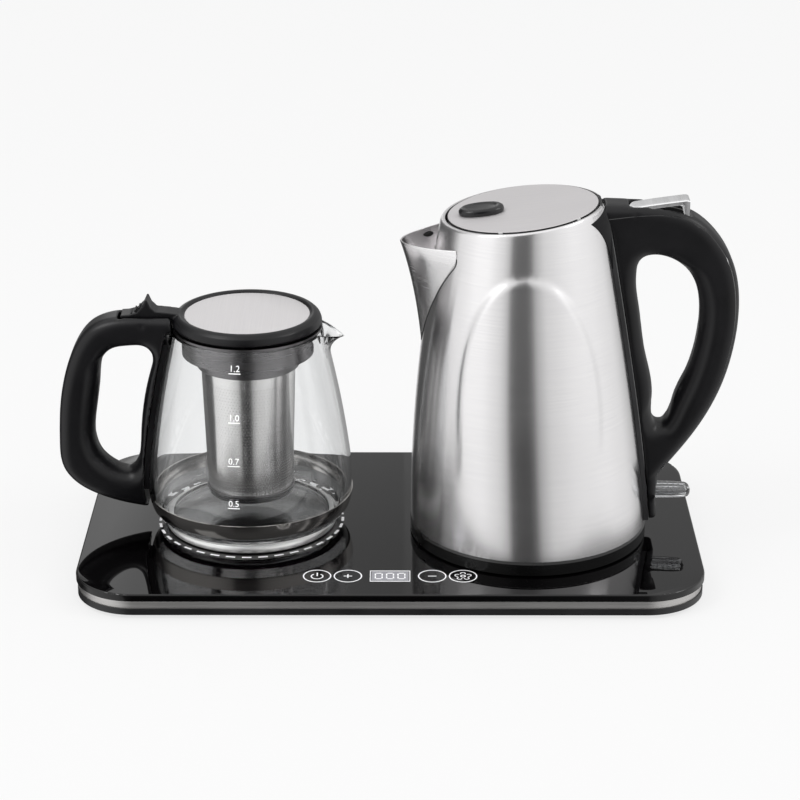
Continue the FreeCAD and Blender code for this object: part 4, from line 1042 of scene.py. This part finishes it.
def softened(name, nodes, voxel, rounds, pins=(), grip=None):
    """Solids of the frame joined, remeshed and eased, so that edges are as soft as a moulding's."""
    shape = bmesh.new()
    for node in nodes:
        shape.from_mesh(frame["nodes"][node].data)
    bmesh.ops.remove_doubles(shape, verts=shape.verts, dist=weld_gap)
    for node in pins:
        pin_from, pin_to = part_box(node)
        middle, wide = (pin_from + pin_to) / 2, (pin_to.z - pin_from.z) / 2 + plug_spare
        for end, inward in ((pin_from.y, 1), (pin_to.y, -1)):
            plug = bmesh.ops.create_cone(shape, cap_ends=True, segments=24, radius1=wide,
                                         radius2=wide, depth=plug_long)["verts"]
            place = Vector((middle.x, end + inward * plug_inset, middle.z))
            bmesh.ops.transform(shape, verts=plug, matrix=Matrix.Translation(place)
                                @ Matrix.Rotation(math.pi / 2, 4, "X"))
    mesh = as_mesh(name, shape, outwards=False)
    if grip:
        mesh = remeshed(name, mesh, voxel, 0)
        round_grip(mesh, *grip)
    return remeshed(name, mesh, voxel, rounds)


def side_block(outline, half):
    """A block with an outline (x, level) seen from the kettle's side, and half its width."""
    return block("side_cutter", [kettle_origin + Vector((x, -half, z)) for x, z in outline],
                 (0, 2 * half, 0))


handle_black = moulded_plastic("handle_black", (0.0025, 0.0024, 0.0032), (0.0045, 0.0043, 0.0055),
                               0.42, 0.32, fineness=3200.0, depth=0.006 * mm,
                               Specular_IOR_Level=0.34)
edge_line = through([Vector(p) * mm for p in (
    (20, 211.0), (42, 213.2), (66, 215.6), (84, 215.3), (97, 211.4), (111, 200.4), (123.5, 180),
    (128, 153.5), (126.2, 128), (119, 99.5), (106, 73), (86, 45.5), (66, 20))], 8)
crease_inset, crease_gap = 2.9 * mm, 0.45 * mm
handle_foot_level, handle_reach = 45.0 * mm, 84.0 * mm
cutter_half, cutter_step, cutter_reach = 20 * mm, 1 * mm, 200 * mm


def crease_outline(inset):
    """The side of the handle within the crease that runs inside its outer edge."""
    moved = []
    for a, b in zip(edge_line, edge_line[1:]):
        along = (b - a).normalized()
        moved.append((a + b) / 2 + Vector((along.y, -along.x)) * inset)
    kept = [p for p in moved if p.y > handle_foot_level]
    return ([Vector((0, 0)), Vector((handle_reach, 0)), Vector((handle_reach, kept[-1].y))]
            + kept[::-1] + [Vector((0, kept[0].y))])


handle_opening = [Vector(p) * mm for p in (
    (64, 178), (68, 185), (78, 186.2), (88.5, 182), (98.5, 171.5), (103.6, 156), (103.6, 136),
    (98, 110), (89.3, 87.5), (83.6, 75.5), (79.6, 75.3), (76.2, 91), (70.6, 124), (66.2, 152))]
handle_grip = (handle_opening, (handle_opening[0], handle_opening[11]), 98.0 * mm, 186.0 * mm,
               kettle_origin)
whole_handle = softened("whole_handle", ["kettle_handle_frame", "kettle_handle_cover"],
                        handle_voxel, handle_rounds, ["release_lever_pin", "switch_pin"],
                        handle_grip)
within = side_block(crease_outline(crease_inset), cutter_half)
without = side_block(crease_outline(crease_inset - crease_gap), cutter_half + cutter_step)
low_block = side_block([(0, 0), (cutter_reach, 0), (cutter_reach, handle_foot_level),
                        (0, handle_foot_level)], cutter_half + 2 * cutter_step)
inner_mesh = cut_out(whole_handle.copy(), [within], "INTERSECT")
inner_half = fit(new_piece("handle_frame", cut_out(inner_mesh.copy(), [low_block.copy()]),
                           handle_black, 60), "kettle", "black_plastic", "kettle_handle_frame")
fit(new_piece("handle_foot", cut_out(inner_mesh, [low_block], "INTERSECT"), handle_black, 60),
    "kettle", "black_plastic")
outer_half = fit(new_piece("handle_cover", cut_out(whole_handle, [without]), handle_black, 60),
                 "kettle", "black_plastic", "kettle_handle_cover")

# The saddle of the frame, which widens under the rim and hugs the steel.
saddle_low, saddle_step = 168.0 * mm, 3.0 * mm
saddle_narrow, saddle_wide = 12.5 * mm, 18.5 * mm
saddle_thick, saddle_edge, saddle_clear = 3.2 * mm, 0.6 * mm, 0.05 * mm
saddle_rows, saddle_cols = 30, 33


def saddle_point(side, share, stand):
    """A point of the saddle: side from -1 to 1 across, share from its foot to its top."""
    reach = (saddle_narrow + saddle_wide * share ** 2.6) * side
    top = mouth_plane(body_centre(mouth_level) + body_radius(mouth_level)) - saddle_step * (
        1 + 1.1 * side * side)
    level = saddle_low + (top - saddle_low) * share
    radius = body_radius(level) + stand
    turn = math.asin(reach / radius)
    return kettle_origin + Vector((body_centre(level) + radius * math.cos(turn),
                                   radius * math.sin(turn), level))


saddle = bmesh.new()
layers = ([], [])
for i in range(saddle_cols):
    side = 2 * i / (saddle_cols - 1) - 1
    stands = [saddle_edge + saddle_thick * (1 - abs(side) ** 2.4)
              * min(1.0, 4 * (1 - j / saddle_rows) + 0.3) for j in range(saddle_rows + 1)]
    for layer, column_stands in zip(layers, (stands, [saddle_clear] * (saddle_rows + 1))):
        layer.append([saddle.verts.new(saddle_point(side, j / saddle_rows, stand))
                      for j, stand in enumerate(column_stands)])
for grid in layers:
    for i in range(saddle_cols - 1):
        for j in range(saddle_rows):
            saddle.faces.new((grid[i][j], grid[i + 1][j], grid[i + 1][j + 1], grid[i][j + 1]))
border = ([(i, 0) for i in range(saddle_cols)]
          + [(saddle_cols - 1, j) for j in range(1, saddle_rows + 1)]
          + [(i, saddle_rows) for i in range(saddle_cols - 2, -1, -1)]
          + [(0, j) for j in range(saddle_rows - 1, 0, -1)])
for (a, b), (c, d) in zip(border, border[1:] + border[:1]):
    saddle.faces.new((layers[0][a][b], layers[1][a][b], layers[1][c][d], layers[0][c][d]))
# The saddle's finish is a darker, duller copy of the handle's black: painted shade on its flank.
saddle_painted_shade = moulded_plastic("saddle_painted_shade", (0.002, 0.0019, 0.0025), (0.0035, 0.0033, 0.0045),
                               0.55, 0.45, fineness=3200.0, depth=0.006 * mm,
                               Specular_IOR_Level=0.12)
saddle_piece = fit(new_piece("handle_saddle", as_mesh("handle_saddle", saddle), saddle_painted_shade, 50),
                   "kettle", "black_plastic")
for piece in (inner_half, outer_half, saddle_piece):
    piece.visible_glossy = False
gasket_grey = moulded_plastic("gasket_grey", (0.02, 0.02, 0.021), (0.03, 0.03, 0.032), 0.5, 0.4)
polished_copy("handle_gasket", "handle_gasket_strip", gasket_grey)
dress("handle_screws", zinc)
dress("release_lever_pin", zinc)
dress("switch_pin", handle_black)

# ---------------------------------------------------------------- lid release lever
# A die-cast lever, satin chromed, let into the top of the handle. It tapers to a round nose at
# the lid, is crowned along its top, and ends in a skirt that the thumb presses.
lever_low, lever_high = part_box("release_lever")
lever_size, lever_middle = lever_high - lever_low, (lever_low + lever_high) / 2
lever_thick, lever_crown, lever_droop, lever_clear = 2.8 * mm, 1.1 * mm, 0.8 * mm, 0.7 * mm
lever_fill, lever_foot, lever_front, skirt_from = 0.95, 0.96, 0.08, 0.92
lever_round, lever_round_steps = 0.35 * mm, 2
lever_steps, lever_across = 40, 17
satin_chrome = brushed_metal("satin_chrome", (0.86, 0.86, 0.87), (0.94, 0.94, 0.95), 0.36, 0.24,
                             (1800, 60, 60), depth=0.001 * mm)


def squared(value, power):
    """A sine or cosine drawn towards its ends, which squares off a circle."""
    return math.copysign(abs(value) ** power, value)


lever = bmesh.new()
lever_rings = []
for i in range(lever_steps + 1):
    t = i / lever_steps
    x = lever_low.x + lever_size.x * t
    front = (1 - max(0.0, 1 - t / lever_front) ** 2.4) ** 0.5
    nose = min(1.0, math.sqrt(1 - (1 - min(1, t * 9)) ** 2))
    half = max(lever_size.y / 2 * lever_fill * front * nose, 0.3 * mm)
    tail = max(0.0, (t - 0.93) / 0.07)
    top = lever_low.z + lever_size.z * (0.50 + 0.50 * t ** 0.8) - lever_droop * tail ** 2
    under = top - lever_thick * min(1.0, 0.35 + 2.2 * t)
    if t > skirt_from:
        under = lever_low.z + lever_clear
    ring = [(x, lever_middle.y + half * squared(math.cos(a), 0.45),
             top - lever_crown * (1 - math.sin(a) ** 0.5))
            for a in (math.pi * j / (lever_across - 1) for j in range(lever_across))]
    ring += [(x, lever_middle.y + way * half * lever_foot, under) for way in (-1, 1)]
    lever_rings.append([lever.verts.new(p) for p in ring])
skin(lever, lever_rings)
lever_piece = new_piece("lid_lever", as_mesh("lid_lever", lever), satin_chrome, 35)
soften = lever_piece.modifiers.new("bevel", "BEVEL")
soften.width = lever_round
soften.segments = lever_round_steps
soften.limit_method = "ANGLE"
soften.angle_limit = math.radians(40)
fit(lever_piece, "release_lever", "chrome", "release_lever")

# ---------------------------------------------------------------- on and off switch
# A clear polycarbonate paddle at the foot of the handle. It is moulded hollow, has a groove along
# each side and ribs across its top, which catch the light.


def clear_finish(name, size, clean, smeared, tint, dirt, **values):
    """A clear material with smears on it."""
    material, tree, shader, place = new_finish(name, Transmission_Weight=1.0, **values)
    smears = use_group(tree, smear_group, Place=place, Size=size, Clean=clean, Smeared=smeared)
    set_inputs(tree, shader, Roughness=smears["Roughness"],
               Base_Color=two_tones(tree, smears["Patch"], tint, dirt))
    return material


clear_plastic = clear_finish("clear_switch", 160.0, 0.02, 0.12, (0.93, 0.94, 0.95),
                             (0.86, 0.87, 0.88), IOR=1.55)
switch_low, switch_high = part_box("switch_lever")
switch_mid, switch_size = (switch_low + switch_high) / 2, switch_high - switch_low
switch_rows, switch_ring, switch_square = 44, 48, 0.55
hollow_from, hollow_to, hollow_share = 0.16, 0.88, 0.66


def paddle_ring(t, shrink):
    """One ring of the paddle: t runs from its root to its nose, shrink makes the hollow."""
    nose = max(0.0, (t - 0.86) / 0.14)
    close = math.sqrt(max(0.0, 1 - nose ** 2.4)) * shrink
    half_y = switch_size.y / 2 * (1 - 0.30 * max(0.0, (t - 0.45) / 0.55) ** 2)
    half_z = switch_size.z / 2 * (1 - 0.12 * t * t)
    ring = []
    for i in range(switch_ring):
        a = 2 * math.pi * i / switch_ring
        y, z = squared(math.cos(a), switch_square), squared(math.sin(a), switch_square)
        groove = 1 - 0.07 * math.exp(-(z / 0.22) ** 2)
        ring.append(Vector((switch_low.x + switch_size.x * t,
                            switch_mid.y + half_y * y * groove * close,
                            switch_mid.z + half_z * z * close)))
    return ring


paddle = bmesh.new()
for first, last, shrink in ((0.0, 0.998, 1.0), (hollow_from, hollow_to, hollow_share)):
    rings = [[paddle.verts.new(p)
              for p in paddle_ring(first + (last - first) * i / switch_rows, shrink)]
             for i in range(switch_rows + 1)]
    walls = skin(paddle, rings)
    bmesh.ops.recalc_face_normals(paddle, faces=walls)
    if shrink < 1:
        bmesh.ops.reverse_faces(paddle, faces=walls)
fit(new_piece("switch_paddle", as_mesh("switch_paddle", paddle, outwards=False), clear_plastic, 35),
    "switch_lever", "clear_plastic", "switch_lever")

rib_tree, given, rib_ids = new_tree("grip_ribs", Count="Int", Pitch="Vector", First="Vector",
                                    Rib_Length="Float", Rib_Radius="Float")
line = add_node(rib_tree, "GeometryNodeMeshLine", Count=given["Count"],
                Start_Location=given["First"], Offset=given["Pitch"])
rib = add_node(rib_tree, "GeometryNodeMeshCylinder", Vertices=12, Depth=given["Rib Length"],
               Radius=given["Rib Radius"])
copies = add_node(rib_tree, "GeometryNodeInstanceOnPoints", Points=line.outputs[0],
                  Instance=rib.outputs[0], Rotation=(math.pi / 2, 0, 0))
finish_tree(rib_tree, given, copies.outputs[0])
rib_count, rib_pitch, rib_slope = 4, 3.4 * mm, -0.15 * mm
rib_margin, rib_sink = 7.5 * mm, 0.35 * mm
rib_first_x = switch_high.x - rib_pitch * (rib_count - 1) - rib_margin
ribs = tree_piece("paddle_ribs", rib_tree, rib_ids, Count=rib_count,
                  Pitch=(rib_pitch, 0, rib_slope),
                  First=(rib_first_x, switch_mid.y, switch_high.z - rib_sink),
                  Rib_Length=9.5 * mm, Rib_Radius=0.5 * mm, Finish=clear_plastic)
ribs.visible_glossy = False
fit(ribs, "switch_lever", "clear_plastic")

# ---------------------------------------------------------------- kettle lid
# A satin steel cap pressed over a plastic liner with a silicone seal. An oval black knob with a
# dished top is set near the spout. The cap stands a little proud of the rim, over a dark band,
# and two small clips of the liner show pale in the gap round it.
lid_steel = brushed_metal("lid_steel", (0.635, 0.62, 0.625), (0.695, 0.68, 0.685), 0.64, 0.58,
                          (18, 3600, 18), depth=0.001 * mm)
liner_black = moulded_plastic("liner_black", (0.002, 0.002, 0.002), (0.004, 0.004, 0.004), 0.6, 0.5)
knob_black = moulded_plastic("knob_black", (0.003, 0.003, 0.004), (0.006, 0.006, 0.007), 0.28, 0.16)
clip_pale = moulded_plastic("clip_pale", (0.5, 0.5, 0.5), (0.62, 0.62, 0.62), 0.5, 0.4)
lid_cap = polished_copy("kettle_lid_cap", "lid_cap", lid_steel)
polished_copy("kettle_lid_liner", "lid_liner", liner_black)
polished_copy("kettle_lid_seal", "lid_seal", liner_black)
polished_copy("lid_hinge_pin", "lid_pin", zinc)

knob_middle, knob_half, knob_square = -25.4 * mm, (14.0 * mm, 9.5 * mm), 0.9
knob_steps = 72
knob_profile = [(0.82, 0.0), (0.95, 0.5), (1.0, 1.8), (1.0, 3.0), (0.96, 4.1), (0.88, 4.8),
                (0.80, 5.0), (0.72, 4.8), (0.66, 4.3), (0.52, 3.9), (0.28, 3.7)]
knob = bmesh.new()
knob_rings = []
for share, level in knob_profile:
    knob_rings.append([knob.verts.new(on_mouth @ Vector((
        knob_middle + squared(math.cos(a), knob_square) * knob_half[0] * share,
        squared(math.sin(a), knob_square) * knob_half[1] * share, level * mm)))
        for a in (2 * math.pi * i / knob_steps for i in range(knob_steps))])
skin(knob, knob_rings)
fit(new_piece("lid_knob", as_mesh("lid_knob", knob), knob_black, 60), "kettle_lid",
    "black_plastic", "kettle_lid_knob")

lid_lift = 0.75 * mm
lid_cap.data.transform(Matrix.Translation(on_mouth.to_3x3() @ Vector((0, 0, lid_lift))))
cap_low, cap_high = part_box("kettle_lid_cap")
band_inner, band_steps = (cap_high.y - cap_low.y) / 2 + 0.02 * mm, 144
band_wide, band_low, band_high, band_top = 0.35 * mm, -0.35 * mm, 0.25 * mm, lid_lift - 0.2 * mm
band = bmesh.new()
band_rings = [[band.verts.new(on_mouth @ Vector((x, y, z)))
               for x, y in arc_points(0, 0, r, 0, 360, band_steps)[:-1]]
              for r, z in ((band_inner, band_low), (band_inner + band_wide, band_low),
                           (band_inner + band_wide, band_high), (band_inner, band_top))]
skin(band, band_rings, hoop=True)
fit(new_piece("lid_band", as_mesh("lid_band", band), liner_black, 40), "kettle_lid",
    "black_plastic")

clip_size, clip_place = Vector((2.4, 1.1, 1.3)) * mm, Vector((47.1, 0, 0.2)) * mm
clips = bmesh.new()
for turned in (-109.0, -47.0):
    add_box(clips, clip_size, on_mouth @ Matrix.Rotation(math.radians(turned), 4, "Z")
            @ Matrix.Translation(clip_place) @ Matrix.Rotation(math.pi / 2, 4, "Z"))
fit(new_piece("lid_clips", as_mesh("lid_clips", clips), clip_pale), "kettle_lid", "black_plastic")

# ---------------------------------------------------------------- glass jug
# Blown borosilicate glass with a 2.4 mm wall, a thick floor and a beak pulled from the rim.
# It narrows to its neck in one easy curve and stands in a bright ring.
jug_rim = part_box("glass_jug")[1].z - pot_origin.z
glass_wall, glass_floor, jug_heel = 2.4 * mm, 4.0 * mm, 5.8 * mm
seat_radius, seat_low, seat_edge = 50.5 * mm, 1.2 * mm, 0.6 * mm
floor_round, floor_dip = (3 * mm, 0.6 * mm), 8 * mm
beak_reach, beak_half = 61.0 * mm, math.radians(20.5)
beak_deep, beak_drop, beak_ease = 17.0 * mm, 5.6 * mm, 0.004
jug_steps = 224
jug_side = through([Vector(p) * mm for p in (
    (53, 5.8), (59.4, 9), (63, 15), (64.8, 25), (65, 35), (63.7, 50), (58.6, 83), (51, 120),
    (48.2, 132))], 9)


def jug_radius(level):
    """Where the outside of the glass lies at a height."""
    for a, b in zip(jug_side, jug_side[1:]):
        if a.y <= level <= b.y:
            return a.x + (b.x - a.x) * (level - a.y) / (b.y - a.y)
    return jug_side[-1].x


def pulled(radius, level, angle):
    """Pulls the rim out to the beak near one side."""
    spread = abs(angle)
    if spread > beak_half or level < jug_rim - beak_deep:
        return radius, level
    rim = jug_side[-1].x
    eased = math.sqrt(spread ** 2 + beak_ease) - math.sqrt(beak_ease)
    edge = beak_reach / (math.cos(eased) + (beak_reach / rim - math.cos(beak_half))
                         / math.sin(beak_half) * math.sin(eased))
    pull = max(0.0, edge - rim) * smooth_step((beak_half - spread) / beak_half * 3)
    share = (level - jug_rim + beak_deep) / beak_deep
    drop = beak_drop * (pull / (beak_reach - rim)) * share ** 2
    return radius + pull * share ** 1.7, level - drop


floor_level = jug_heel + glass_floor
jug_inside = [Vector((p.x - glass_wall, p.y)) for p in jug_side if p.y > floor_level]
rim_middle, rim_half, rim_flat = jug_side[-1].x - glass_wall / 2, glass_wall / 2, 0.8
jug_outline = [Vector((0, seat_low)), Vector((seat_radius - seat_edge, seat_low)),
               Vector((seat_radius, seat_low + seat_edge)), Vector((seat_radius, jug_heel))]
jug_outline += jug_side
jug_outline += [Vector((rim_middle + rim_half * math.cos(math.pi * i / 8),
                        jug_rim + rim_half * rim_flat * (math.sin(math.pi * i / 8) - 1)))
                for i in range(1, 8)]
jug_outline += jug_inside[::-1]
jug_outline += [Vector((jug_inside[0].x - floor_round[0], floor_level + floor_round[1])),
                Vector((jug_inside[0].x - floor_dip, floor_level)), Vector((0, floor_level))]


def lathe(name, outline, origin, steps, shift):
    """Turns an outline that starts and ends on the axis into a closed solid."""
    shape = bmesh.new()
    ends = [shape.verts.new(origin + Vector((0, 0, outline[i].y))) for i in (0, -1)]
    rings = []
    for i in range(steps):
        angle = 2 * math.pi * i / steps
        angle = angle - 2 * math.pi if angle > math.pi else angle
        spots = [shift(point.x, point.y, angle) for point in outline[1:-1]]
        rings.append([shape.verts.new(origin + Vector((r * math.cos(angle), r * math.sin(angle), z)))
                      for r, z in spots])
    for a, b in zip(rings, rings[1:] + rings[:1]):
        shape.faces.new((ends[0], b[0], a[0]))
        shape.faces.new((ends[1], a[-1], b[-1]))
        for j in range(len(a) - 1):
            shape.faces.new((a[j], b[j], b[j + 1], a[j + 1]))
    mesh = as_mesh(name, shape)
    turn_map(mesh, origin)
    return mesh


jug_glass = clear_finish("jug_glass", 34.0, 0.0, 0.02, (0.965, 0.97, 0.972), (0.95, 0.955, 0.958),
                         IOR=1.47)
jug_mesh = lathe("glass_jug_wall", jug_outline, pot_origin, jug_steps, pulled)
fit(new_piece("glass_jug_wall", jug_mesh, jug_glass, 45), "teapot", "clear_glass", "glass_jug")

# ---------------------------------------------------------------- level marks
# Enamel numbers and short lines, printed and fired on the front of the glass, for 1.2, 1.0, 0.7
# and 0.5 litres. They follow the curve of the wall.
mark_turn = math.radians(-96.0)
mark_levels = (("1.2", 121.0), ("1.0", 91.0), ("0.7", 64.0), ("0.5", 37.0))
mark_size, mark_line_half, mark_line_drop = 5.6 * mm, 3.75 * mm, 1.2 * mm
mark_line_thick, ink_stand, ink_coat = 0.55 * mm, 0.08 * mm, 0.06 * mm
# The enamel's emission is a painted glow that makes the marks brighter than the lamps light them.
enamel = speckled_ink("white_enamel_painted_glow", 1500.0, (0.80, 0.80, 0.80), (0.93, 0.93, 0.93),
                      Roughness=0.4, Emission_Strength=0.45, Emission_Color=(1, 1, 1, 1))


def number_mesh(words):
    """The flat figures of a number, about zero."""
    text = bpy.data.curves.new("mark_" + words, "FONT")
    text.body = words
    text.size = mark_size
    text.align_x = "CENTER"
    text.resolution_u = 3
    return plain_mesh(new_object("mark_holder", text))


marks = bmesh.new()
for label, level in mark_levels:
    strip = bmesh.new()
    ribbon(strip, [(mark_line_half * (i / 4 - 1), -mark_line_drop) for i in range(9)],
           mark_line_thick, 0.0)
    for flat in (number_mesh(label), as_mesh("mark_line", strip, outwards=False)):
        for vertex in flat.vertices:
            up = level * mm + vertex.co.y
            radius = jug_radius(up) + ink_stand + vertex.co.z
            turn = mark_turn + vertex.co.x / radius
            vertex.co = pot_origin + Vector((radius * math.cos(turn), radius * math.sin(turn), up))
        marks.from_mesh(flat)
bmesh.ops.triangulate(marks, faces=marks.faces)
for face in marks.faces:
    outward = face.calc_center_median() - pot_origin
    if face.normal.dot(Vector((outward.x, outward.y, 0))) < 0:
        face.normal_flip()
mark_piece = new_piece("level_marks", as_mesh("level_marks", marks, outwards=False), enamel)
coat = mark_piece.modifiers.new("coat", "SOLIDIFY")
coat.thickness = ink_coat
coat.offset = 1.0
fit(mark_piece, "teapot", "clear_glass")

# ---------------------------------------------------------------- foot ring and heel band
# A bright turned ring carries the glass. A thin polished steel band is sprung round the heel and
# hides where the floor begins.
bright_ring = brushed_metal("ring_bright", (0.88, 0.88, 0.87), (0.95, 0.95, 0.94), 0.42, 0.34,
                            (40, 40, 3000), depth=0.0004 * mm)
heel_steel = brushed_metal("heel_steel", (0.50, 0.48, 0.46), (0.60, 0.58, 0.56), 0.16, 0.09,
                           (30, 30, 4200), depth=0.0006 * mm)
ring_out, ring_in, ring_tall, ring_round = 54.6 * mm, 50.6 * mm, 5.4 * mm, 3.4 * mm
ring_edge, ring_steps = 0.8 * mm, 160
ring_outline = [(ring_in, 0), (ring_out - ring_edge, 0), (ring_out, ring_edge)]
ring_outline += arc_points(ring_out - ring_round, ring_tall - ring_round, ring_round, 0, 90, 10)
ring_outline += [(ring_in, ring_tall)]
hoop = bmesh.new()
hoops = [[hoop.verts.new(pot_origin + Vector((r * math.cos(a), r * math.sin(a), z)))
          for r, z in ring_outline]
         for a in (2 * math.pi * i / ring_steps for i in range(ring_steps))]
skin(hoop, hoops, hoop=True)
fit(new_piece("jug_foot_ring", as_mesh("jug_foot_ring", hoop), bright_ring, 40), "teapot",
    "brushed_steel", "pot_foot_ring")
polished_copy("pot_heel_band", "jug_heel_band", heel_steel)

# ---------------------------------------------------------------- teapot handle
# A broad satin black grip, screwed through a strip that is bonded to the glass. Its cheeks are
# rounded towards the finger opening. The pin across its top carries the lid.
pot_black = moulded_plastic("pot_black", (0.0028, 0.0027, 0.0036), (0.005, 0.0048, 0.006),
                            0.38, 0.28, fineness=3200.0, depth=0.006 * mm,
                            Specular_IOR_Level=0.34)
pot_opening = [Vector(p) * mm for p in (
    (-91.5, 113), (-85, 120), (-74.3, 122), (-64, 121), (-60, 115.5), (-61.4, 105), (-69.2, 58.6),
    (-72.2, 43), (-77, 37.5), (-85.7, 40), (-94.5, 48), (-98.4, 60), (-97.4, 75.1),
    (-93.8, 100.4))]
pot_grip = (pot_opening, (pot_opening[4], pot_opening[7]), 56.0 * mm, 121.0 * mm, pot_origin)
grip_mesh = softened("jug_handle", ["pot_handle"], handle_voxel, handle_rounds, ["pot_hinge_pin"],
                     pot_grip)
fit(new_piece("jug_handle", grip_mesh, pot_black, 60), body_of["pot_handle"],
    slot_of["pot_handle"], "pot_handle")
polished_copy("pot_handle_strip", "jug_strip", pot_black)
tongue_low, tongue_high = Vector((-52, -8, 129)) * mm, Vector((-47.3, 8, 137.0)) * mm
tongue_round = 1.2 * mm
tongue = bmesh.new()
add_box(tongue, tongue_high - tongue_low,
        Matrix.Translation(pot_origin + (tongue_low + tongue_high) / 2))
bmesh.ops.bevel(tongue, geom=tongue.edges, offset=tongue_round, segments=4, affect="EDGES")
fit(new_piece("handle_tongue", as_mesh("handle_tongue", tongue), pot_black, 40), "teapot",
    "charcoal_plastic")
dress("pot_handle_screws", zinc)
dress("pot_hinge_pin", pot_black)

# ---------------------------------------------------------------- teapot lid
# A moulded ring with the thumb lever on its tongue, a steel disc let into its top, and a liner
# below. The thumb pad has ribs across it for grip.
thumb_level, thumb_share = pot_origin.z + 146.0 * mm, 0.8
thumb_pitch, thumb_first = (2.4 * mm, 0, 1.65 * mm), (-162.2 * mm, pot_origin.y, 159.2 * mm)
lid_mesh = softened("jug_lid_ring", ["pot_lid_ring"], 0.55 * mm, 4)
for vert in lid_mesh.vertices:
    if vert.co.z > thumb_level:
        vert.co.z = thumb_level + (vert.co.z - thumb_level) * thumb_share
fit(new_piece("jug_lid_ring", lid_mesh, pot_black, 60), body_of["pot_lid_ring"],
    slot_of["pot_lid_ring"], "pot_lid_ring")
thumb_ribs = tree_piece("thumb_ribs", rib_tree, rib_ids, Count=4, Pitch=thumb_pitch,
                        First=thumb_first, Rib_Length=9.0 * mm, Rib_Radius=0.55 * mm,
                        Finish=pot_black)
fit(thumb_ribs, "pot_lid", "charcoal_plastic")
disc_steel = brushed_metal("disc_steel", (0.72, 0.705, 0.71), (0.78, 0.765, 0.77), 0.66, 0.60,
                           (3600, 18, 18), depth=0.001 * mm)
polished_copy("pot_lid_disc", "jug_lid_disc", disc_steel)
dress("pot_lid_liner", casing_black)

# ---------------------------------------------------------------- infuser
# A steel cup, punched with fine holes, hangs from a dark collar that lies on the rim of the
# glass. A shallow cap closes the foot of the cup.
collar_black = brushed_metal("collar_black", (0.15, 0.145, 0.15), (0.20, 0.195, 0.20), 0.30, 0.22,
                             (30, 30, 2400), depth=0.0008 * mm)
cup_steel = brushed_metal("cup_steel", (0.84, 0.83, 0.82), (0.94, 0.93, 0.92), 0.22, 0.17,
                          (30, 30, 3000), turned="turn", depth=0.0004 * mm, Anisotropic=0.8,
                          Anisotropic_Rotation=0.25)
# The holes are dark discs on the wall, not openings; their grey is painted shade.
hole_painted_shade = brushed_metal("hole_painted_shade", (0.34, 0.33, 0.33), (0.46, 0.45, 0.45), 0.45, 0.35,
                          (900, 900, 900))
polished_copy("infuser_collar", "cup_collar", collar_black)
polished_copy("infuser_base", "cup_foot", collar_black)
turn_map(polished_copy("infuser_cup", "cup_wall", cup_steel).data, pot_origin)

made, given, ids = new_tree("cup_holes", Turns="Int", Rows="Int", Low="Float", Pitch="Float",
                            Foot_Radius="Float", Flare="Float", Hole_Radius="Float",
                            Centre="Vector")
index = made.nodes.new("GeometryNodeInputIndex").outputs[0]
row = node_math(made, "FLOOR", node_math(made, "DIVIDE", index, given["Turns"]))
staggered = node_math(made, "MULTIPLY_ADD", row, 0.5, index)
turned = node_math(made, "MULTIPLY", node_math(made, "DIVIDE", staggered, given["Turns"]),
                   2 * math.pi)
height = node_math(made, "MULTIPLY_ADD", row, given["Pitch"], given["Low"])
radius = node_math(made, "MULTIPLY_ADD", height, given["Flare"], given["Foot Radius"])
spot = add_node(made, "ShaderNodeCombineXYZ", Z=height,
                X=node_math(made, "MULTIPLY", radius, node_math(made, "COSINE", turned)),
                Y=node_math(made, "MULTIPLY", radius, node_math(made, "SINE", turned)))
points = add_node(made, "GeometryNodePoints", Position=spot.outputs[0],
                  Count=node_math(made, "MULTIPLY", given["Turns"], given["Rows"]))
hole = add_node(made, "GeometryNodeMeshCircle", Vertices=6, Radius=given["Hole Radius"])
hole.fill_type = "NGON"
facing = add_node(made, "ShaderNodeCombineXYZ", X=math.pi / 2,
                  Z=node_math(made, "ADD", turned, math.pi / 2))
copies = add_node(made, "GeometryNodeInstanceOnPoints", Points=points.outputs[0],
                  Instance=hole.outputs[0], Rotation=facing.outputs[0])
moved = add_node(made, "GeometryNodeTransform", Geometry=copies.outputs[0],
                 Translation=given["Centre"])
finish_tree(made, given, moved.outputs[0])
cup_radius, cup_taper, cup_foot, cup_sleeve = 29.8 * mm, 2.6 * mm, 26.0 * mm, 108.5 * mm
flare, hole_stand = cup_taper / (cup_sleeve - cup_foot), 0.04 * mm
holes_round, hole_rows, hole_low, hole_pitch = 88, 36, 30.0 * mm, 2.0 * mm
holes = tree_piece("cup_holes", made, ids, Turns=holes_round, Rows=hole_rows, Low=hole_low,
                   Pitch=hole_pitch,
                   Foot_Radius=cup_radius - cup_taper - cup_foot * flare + hole_stand,
                   Flare=flare, Hole_Radius=0.36 * mm, Centre=pot_origin[:], Finish=hole_painted_shade)
fit(holes, "infuser", "brushed_steel")
